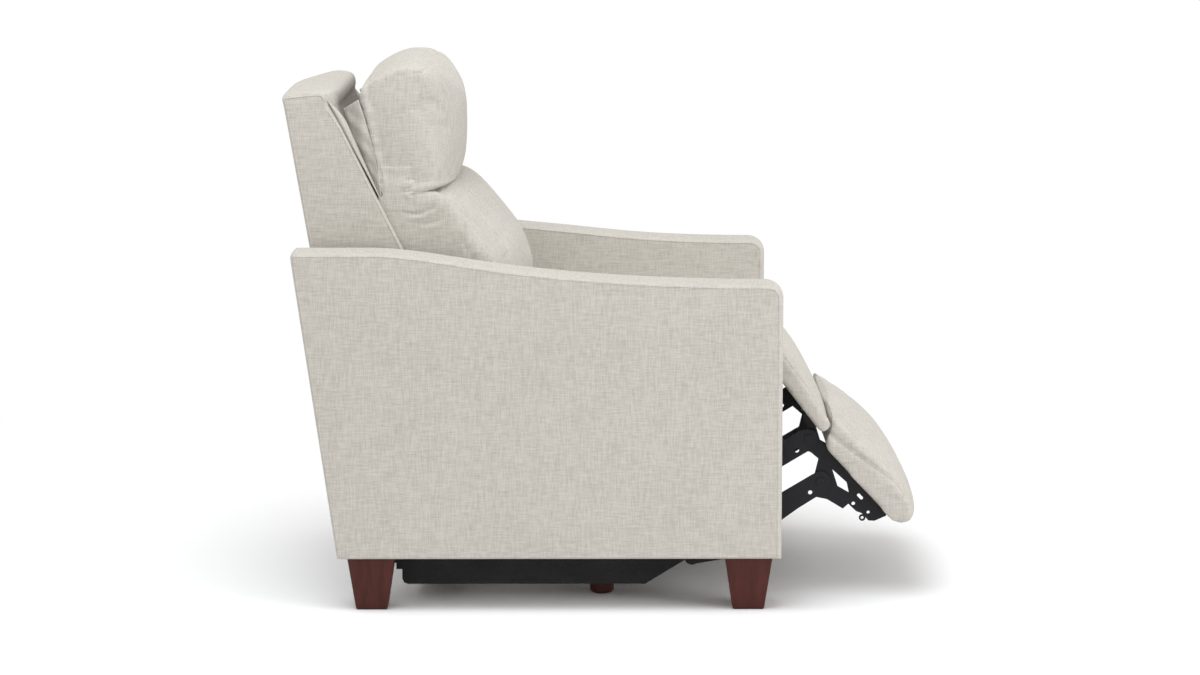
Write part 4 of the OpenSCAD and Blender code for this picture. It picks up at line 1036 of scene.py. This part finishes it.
class Nodes:
    """A node tree that grows node by node."""

    def __init__(self, tree):
        self.tree = tree
        tree.nodes.clear()

    def node(self, kind, settings=None, sockets=None, output=0):
        """A new node with its settings and inputs, as the signal of one output."""
        made = self.tree.nodes.new(kind)
        for key, value in (settings or {}).items():
            setattr(made, key, value)
        for key, value in (sockets or {}).items():
            self.join(value, made.inputs[key])
        return Signal(self, made.outputs[output])

    def join(self, value, socket):
        """Link a signal to a socket, or set the socket to a plain value."""
        if isinstance(value, Signal):
            self.tree.links.new(value.socket, socket)
        else:
            socket.default_value = value

    def position(self):
        """The place in the frame, in metres, the same for every piece."""
        return self.node("ShaderNodeTexCoord", output="Object")

    def noise(self, scale, stretch=(1, 1, 1), detail=2.0, roughness=0.5, offset=(0, 0, 0)):
        """Noise with scale changes per metre, fewer along an axis whose stretch is small."""
        where = self.node("ShaderNodeMapping", {}, {
            "Vector": self.position(), "Location": offset,
            "Scale": tuple(scale * s for s in stretch)})
        return self.node("ShaderNodeTexNoise", {}, {
            "Vector": where, "Scale": 1.0, "Detail": detail, "Roughness": roughness})

    def mix(self, factor, first, second):
        """The first colour where the factor is 0, and the second where it is 1."""
        return self.node("ShaderNodeMix", {"data_type": "RGBA"},
                         {0: factor, 6: (*first, 1), 7: (*second, 1)}, output=2)

    def bump(self, height, distance, strength):
        """Fine relief from a height."""
        return self.node("ShaderNodeBump", {}, {
            "Height": height, "Distance": distance, "Strength": strength})

    def seen(self):
        """1 for what the camera, gloss or glass sees, and 0 for the light on other surfaces."""
        kinds = ("Is Camera Ray", "Is Glossy Ray", "Is Transmission Ray")
        plain, gloss, glass = (self.node("ShaderNodeLightPath", output=kind) for kind in kinds)
        return (plain + gloss + glass).clamp()


class Finish(Nodes):
    """A material with one Principled surface."""

    def __init__(self, name, **fixed):
        self.material = bpy.data.materials.new(name)
        self.material.use_nodes = True
        super().__init__(self.material.node_tree)
        self.surface = self.tree.nodes.new("ShaderNodeBsdfPrincipled")
        self.out = self.tree.nodes.new("ShaderNodeOutputMaterial")
        self.tree.links.new(self.surface.outputs[0], self.out.inputs[0])
        self.set(**fixed)

    def set(self, **values):
        """Set or link sockets of the surface by their names in small letters."""
        for key, value in values.items():
            name = key.replace("_", " ").title().replace("Ior", "IOR")
            self.join(value, self.surface.inputs[name])


print("shader helpers ready")

# %% [markdown]
# ## The linen-look cover
#
# The cloth is a plain weave of slubby yarns. Some are a little darker, and they run as
# short streaks in both directions. A noise that changes fast in one direction and slowly
# in the others draws such yarns. Panels that face sideways take yarns that run up and
# along, and all others take yarns that run across the chair and down the slope. So the
# weave lies right on every panel, however it leans.

# %% Fabric
THREAD_LIGHT = (0.604, 0.574, 0.520)
THREAD_DARK = (0.452, 0.427, 0.378)
LONG, SHORT = 42, 480


def linen_finish(name):
    """Woven yarns whose tone is a sum of streaked noises, and whose relief follows them."""
    made = Finish(name, roughness=0.92, specular_ior_level=0.22, sheen_weight=0.1,
                  sheen_roughness=0.45)
    normal = made.node("ShaderNodeTexCoord", output="Normal")
    facing = made.node("ShaderNodeSeparateXYZ", {}, {0: normal}, output="Y")
    sideways = (facing * facing * 2.4 - 0.7).clamp()
    thin = LONG / SHORT

    def yarns(x, y, z, scale, detail):
        """One set of yarns, as a noise about 0."""
        return made.noise(scale, (x, y, z), detail=detail, offset=(3.1 * x, 1.7 * z, 5.3 * y)) - 0.5

    def weave(scale, detail):
        """Two crossed sets of yarns that lie in the panel."""
        along = yarns(thin, thin, 1, scale, detail)
        upright = yarns(1, thin, thin, scale, detail)
        down = yarns(thin, 1, thin, scale, detail)
        across = yarns(1, thin, 1, scale, detail)
        return sideways * (along + upright) + (1 - sideways) * (down + across)

    slub = weave(SHORT, 1.5)
    fine = weave(SHORT * 2.6, 1.0)
    patch = made.noise(9, detail=2.0)
    light = (0.62 + 1.55 * slub + 0.5 * fine + 0.2 * (patch - 0.5)).clamp()
    colour = made.mix(light, THREAD_DARK, THREAD_LIGHT)
    made.set(base_color=colour, normal=made.bump(slub * 0.6 + fine, 0.0008, 0.5))
    return made.material


linen = linen_finish("oatmeal_linen")
print("fabric with", len(linen.node_tree.nodes), "nodes")

# %% [markdown]
# ## Wood, steel, boards and plastics
#
# The legs are stained dark red-brown under a satin lacquer, with the grain running down.
# The mechanism has a black powder coat with a fine orange-peel skin. The base boards are
# wrapped in black cloth.

# %% Hard finishes
def wood_finish(name, dark, light, roughness, coat, grain_axis=2, scale=60):
    """Grain and fine pores, both drawn out along one axis."""
    made = Finish(name, coat_roughness=0.25, specular_ior_level=0.2)
    stretch = [1.0, 1.0, 1.0]
    stretch[grain_axis] = 0.06
    grain = made.noise(scale, stretch, detail=5.0, roughness=0.65)
    pores = made.noise(scale * 9, stretch, detail=2.0)
    tone = (grain * 1.5 - 0.35 + 0.3 * (pores - 0.5)).clamp()
    made.set(base_color=made.mix(tone, dark, light), coat_weight=coat,
             roughness=roughness + 0.12 * (pores - 0.5),
             normal=made.bump(pores + grain * 0.4, 0.0002, 0.35))
    return made.material


TONE = 0.12


def skin_finish(name, colour, roughness, grain=700, depth=0.00012, metallic=0.0, shine=0.5):
    """A moulded, plated or sprayed skin: fine relief, and a slow change of tone and gloss."""
    made = Finish(name, metallic=metallic, specular_ior_level=shine)
    peel = made.noise(grain, detail=2.0)
    slow = made.noise(14, detail=3.0)
    dark = tuple(c * (1 - TONE) for c in colour)
    bright = tuple(c * (1 + TONE) for c in colour)
    made.set(base_color=made.mix(slow, dark, bright), roughness=roughness + 0.18 * (slow - 0.5),
             normal=made.bump(peel, depth, 0.5))
    return made.material


def black_cloth():
    """A thin black dust cloth of crossed threads, a little creased."""
    made = Finish("black_cambric", specular_ior_level=0.3, sheen_weight=0.2, sheen_roughness=0.5)
    across = made.noise(600, (0.15, 1, 1), detail=1.0)
    down = made.noise(600, (1, 1, 0.15), detail=1.0)
    slow = made.noise(22, (0.6, 1, 1), detail=3.0)
    tone = (across * 0.5 + down * 0.5 + slow - 0.6).clamp()
    made.set(base_color=made.mix(tone, (0.008, 0.008, 0.009), (0.03, 0.03, 0.032)),
             roughness=0.85 + 0.1 * (slow - 0.5),
             normal=made.bump(across + down + slow * 3, 0.0006, 0.5))
    return made.material


SILVER = (0.50, 0.51, 0.53)
finishes = {
    "fabric": linen,
    "leg_wood": wood_finish("stained_leg_wood", (0.042, 0.009, 0.006), (0.105, 0.026, 0.018),
                            0.45, 0.03),
    "black_board": black_cloth(),
    "black_steel": skin_finish("black_powder_coat", (0.0115, 0.0115, 0.014), 0.45, shine=0.22),
    "black_plastic": skin_finish("moulded_black_plastic", (0.022, 0.022, 0.023), 0.5, 1500),
    "frame_timber": wood_finish("bare_plywood", (0.36, 0.23, 0.12), (0.62, 0.45, 0.27), 0.6, 0.0,
                                grain_axis=0, scale=45),
    "zinc_steel": skin_finish("zinc_plate", SILVER, 0.34, 900, 0.00004, 1.0),
    "button_plastic": skin_finish("silver_button", SILVER, 0.38, 1800, 0.00004),
}
print(len(finishes), "finishes")

# %% [markdown]
# ## Dressing the pieces
#
# Each CAD node's material is named after its slot, and each new piece was given a slot. So
# one loop dresses the whole chair.

# %% Dress
dressed = {}
for thing in scene.objects:
    if thing.type != "MESH":
        continue
    slots = thing.data.materials
    slot_name = thing.get("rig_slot") or slots[0].name.split(".")[0]
    if not slots:
        slots.append(None)
    for k in range(len(slots)):
        slots[k] = finishes[slot_name]
    dressed[slot_name] = dressed.get(slot_name, 0) + 1
print(dressed)

# %% [markdown]
# ## The studio
#
# Close to the chair the pale floor is a plain surface that takes the shadow. Further out
# it turns into the white that the camera, gloss and glass see. A large soft lamp hangs
# over the chair on the camera's side, and a weaker one lights the front.

# %% Floor and lamps
FLOOR_HALF = 40
WHITE_FROM, WHITE_OVER = 1.0, 1.2

line = np.linspace(-FLOOR_HALF, FLOOR_HALF, 9)
floor = many_grids("floor", [np.stack(np.broadcast_arrays(line[:, None], line, 0.0), axis=-1)],
                   around=False)
if floor.data.polygons[0].normal.z < 0:
    floor.data.flip_normals()

ground = Finish("pale_floor", roughness=0.9, specular_ior_level=0.1)
distance = ground.node("ShaderNodeVectorMath", {"operation": "LENGTH"}, {0: ground.position()},
                       output="Value")
far_out = ((distance - WHITE_FROM) / WHITE_OVER).clamp()
seen = ground.seen()
ground.set(base_color=ground.mix(seen, (0.8, 0.8, 0.8), (1.0, 1.0, 1.0)))
white = ground.node("ShaderNodeEmission", {}, {"Color": (1, 1, 1, 1), "Strength": 1.0})
mixed = ground.node("ShaderNodeMixShader", {}, {
    0: seen * far_out, 1: Signal(ground, ground.surface.outputs[0]), 2: white})
ground.tree.links.new(mixed.socket, ground.out.inputs[0])
floor.data.materials.append(ground.material)

studio = bpy.data.worlds.new("studio")
scene.world = studio
studio.use_nodes = True
sky = Nodes(studio.node_tree)
light = sky.mix(sky.seen(), (0.62, 0.612, 0.595), (1.0, 1.0, 1.0))
background = sky.node("ShaderNodeBackground", {}, {"Color": light})
end = sky.tree.nodes.new("ShaderNodeOutputWorld")
sky.tree.links.new(background.socket, end.inputs[0])


def lamp(name, at, aim, size, watts, colour):
    """A square soft lamp at a place, turned to a point."""
    data = bpy.data.lights.new(name, "AREA")
    data.size = size
    data.energy = watts
    data.color = colour
    thing = bpy.data.objects.new(name, data)
    thing.location = at
    direction = np.array(aim, float) - np.array(at, float)
    flat = math.hypot(direction[0], direction[1])
    thing.rotation_euler = (math.atan2(flat, -direction[2]), 0,
                            math.atan2(-direction[0], direction[1]))
    scene.collection.objects.link(thing)


lamp("overhead_softbox", at=(-1.0, -1.4, 4.8), aim=(0, 0, 0.3), size=3.6, watts=163,
     colour=(0.92, 0.95, 1.0))
lamp("front_fill", at=(4.3, -2.4, 1.4), aim=(0, 0, 0.5), size=3.0, watts=109,
     colour=(0.96, 0.97, 1.0))
print("two lamps and a white surround")
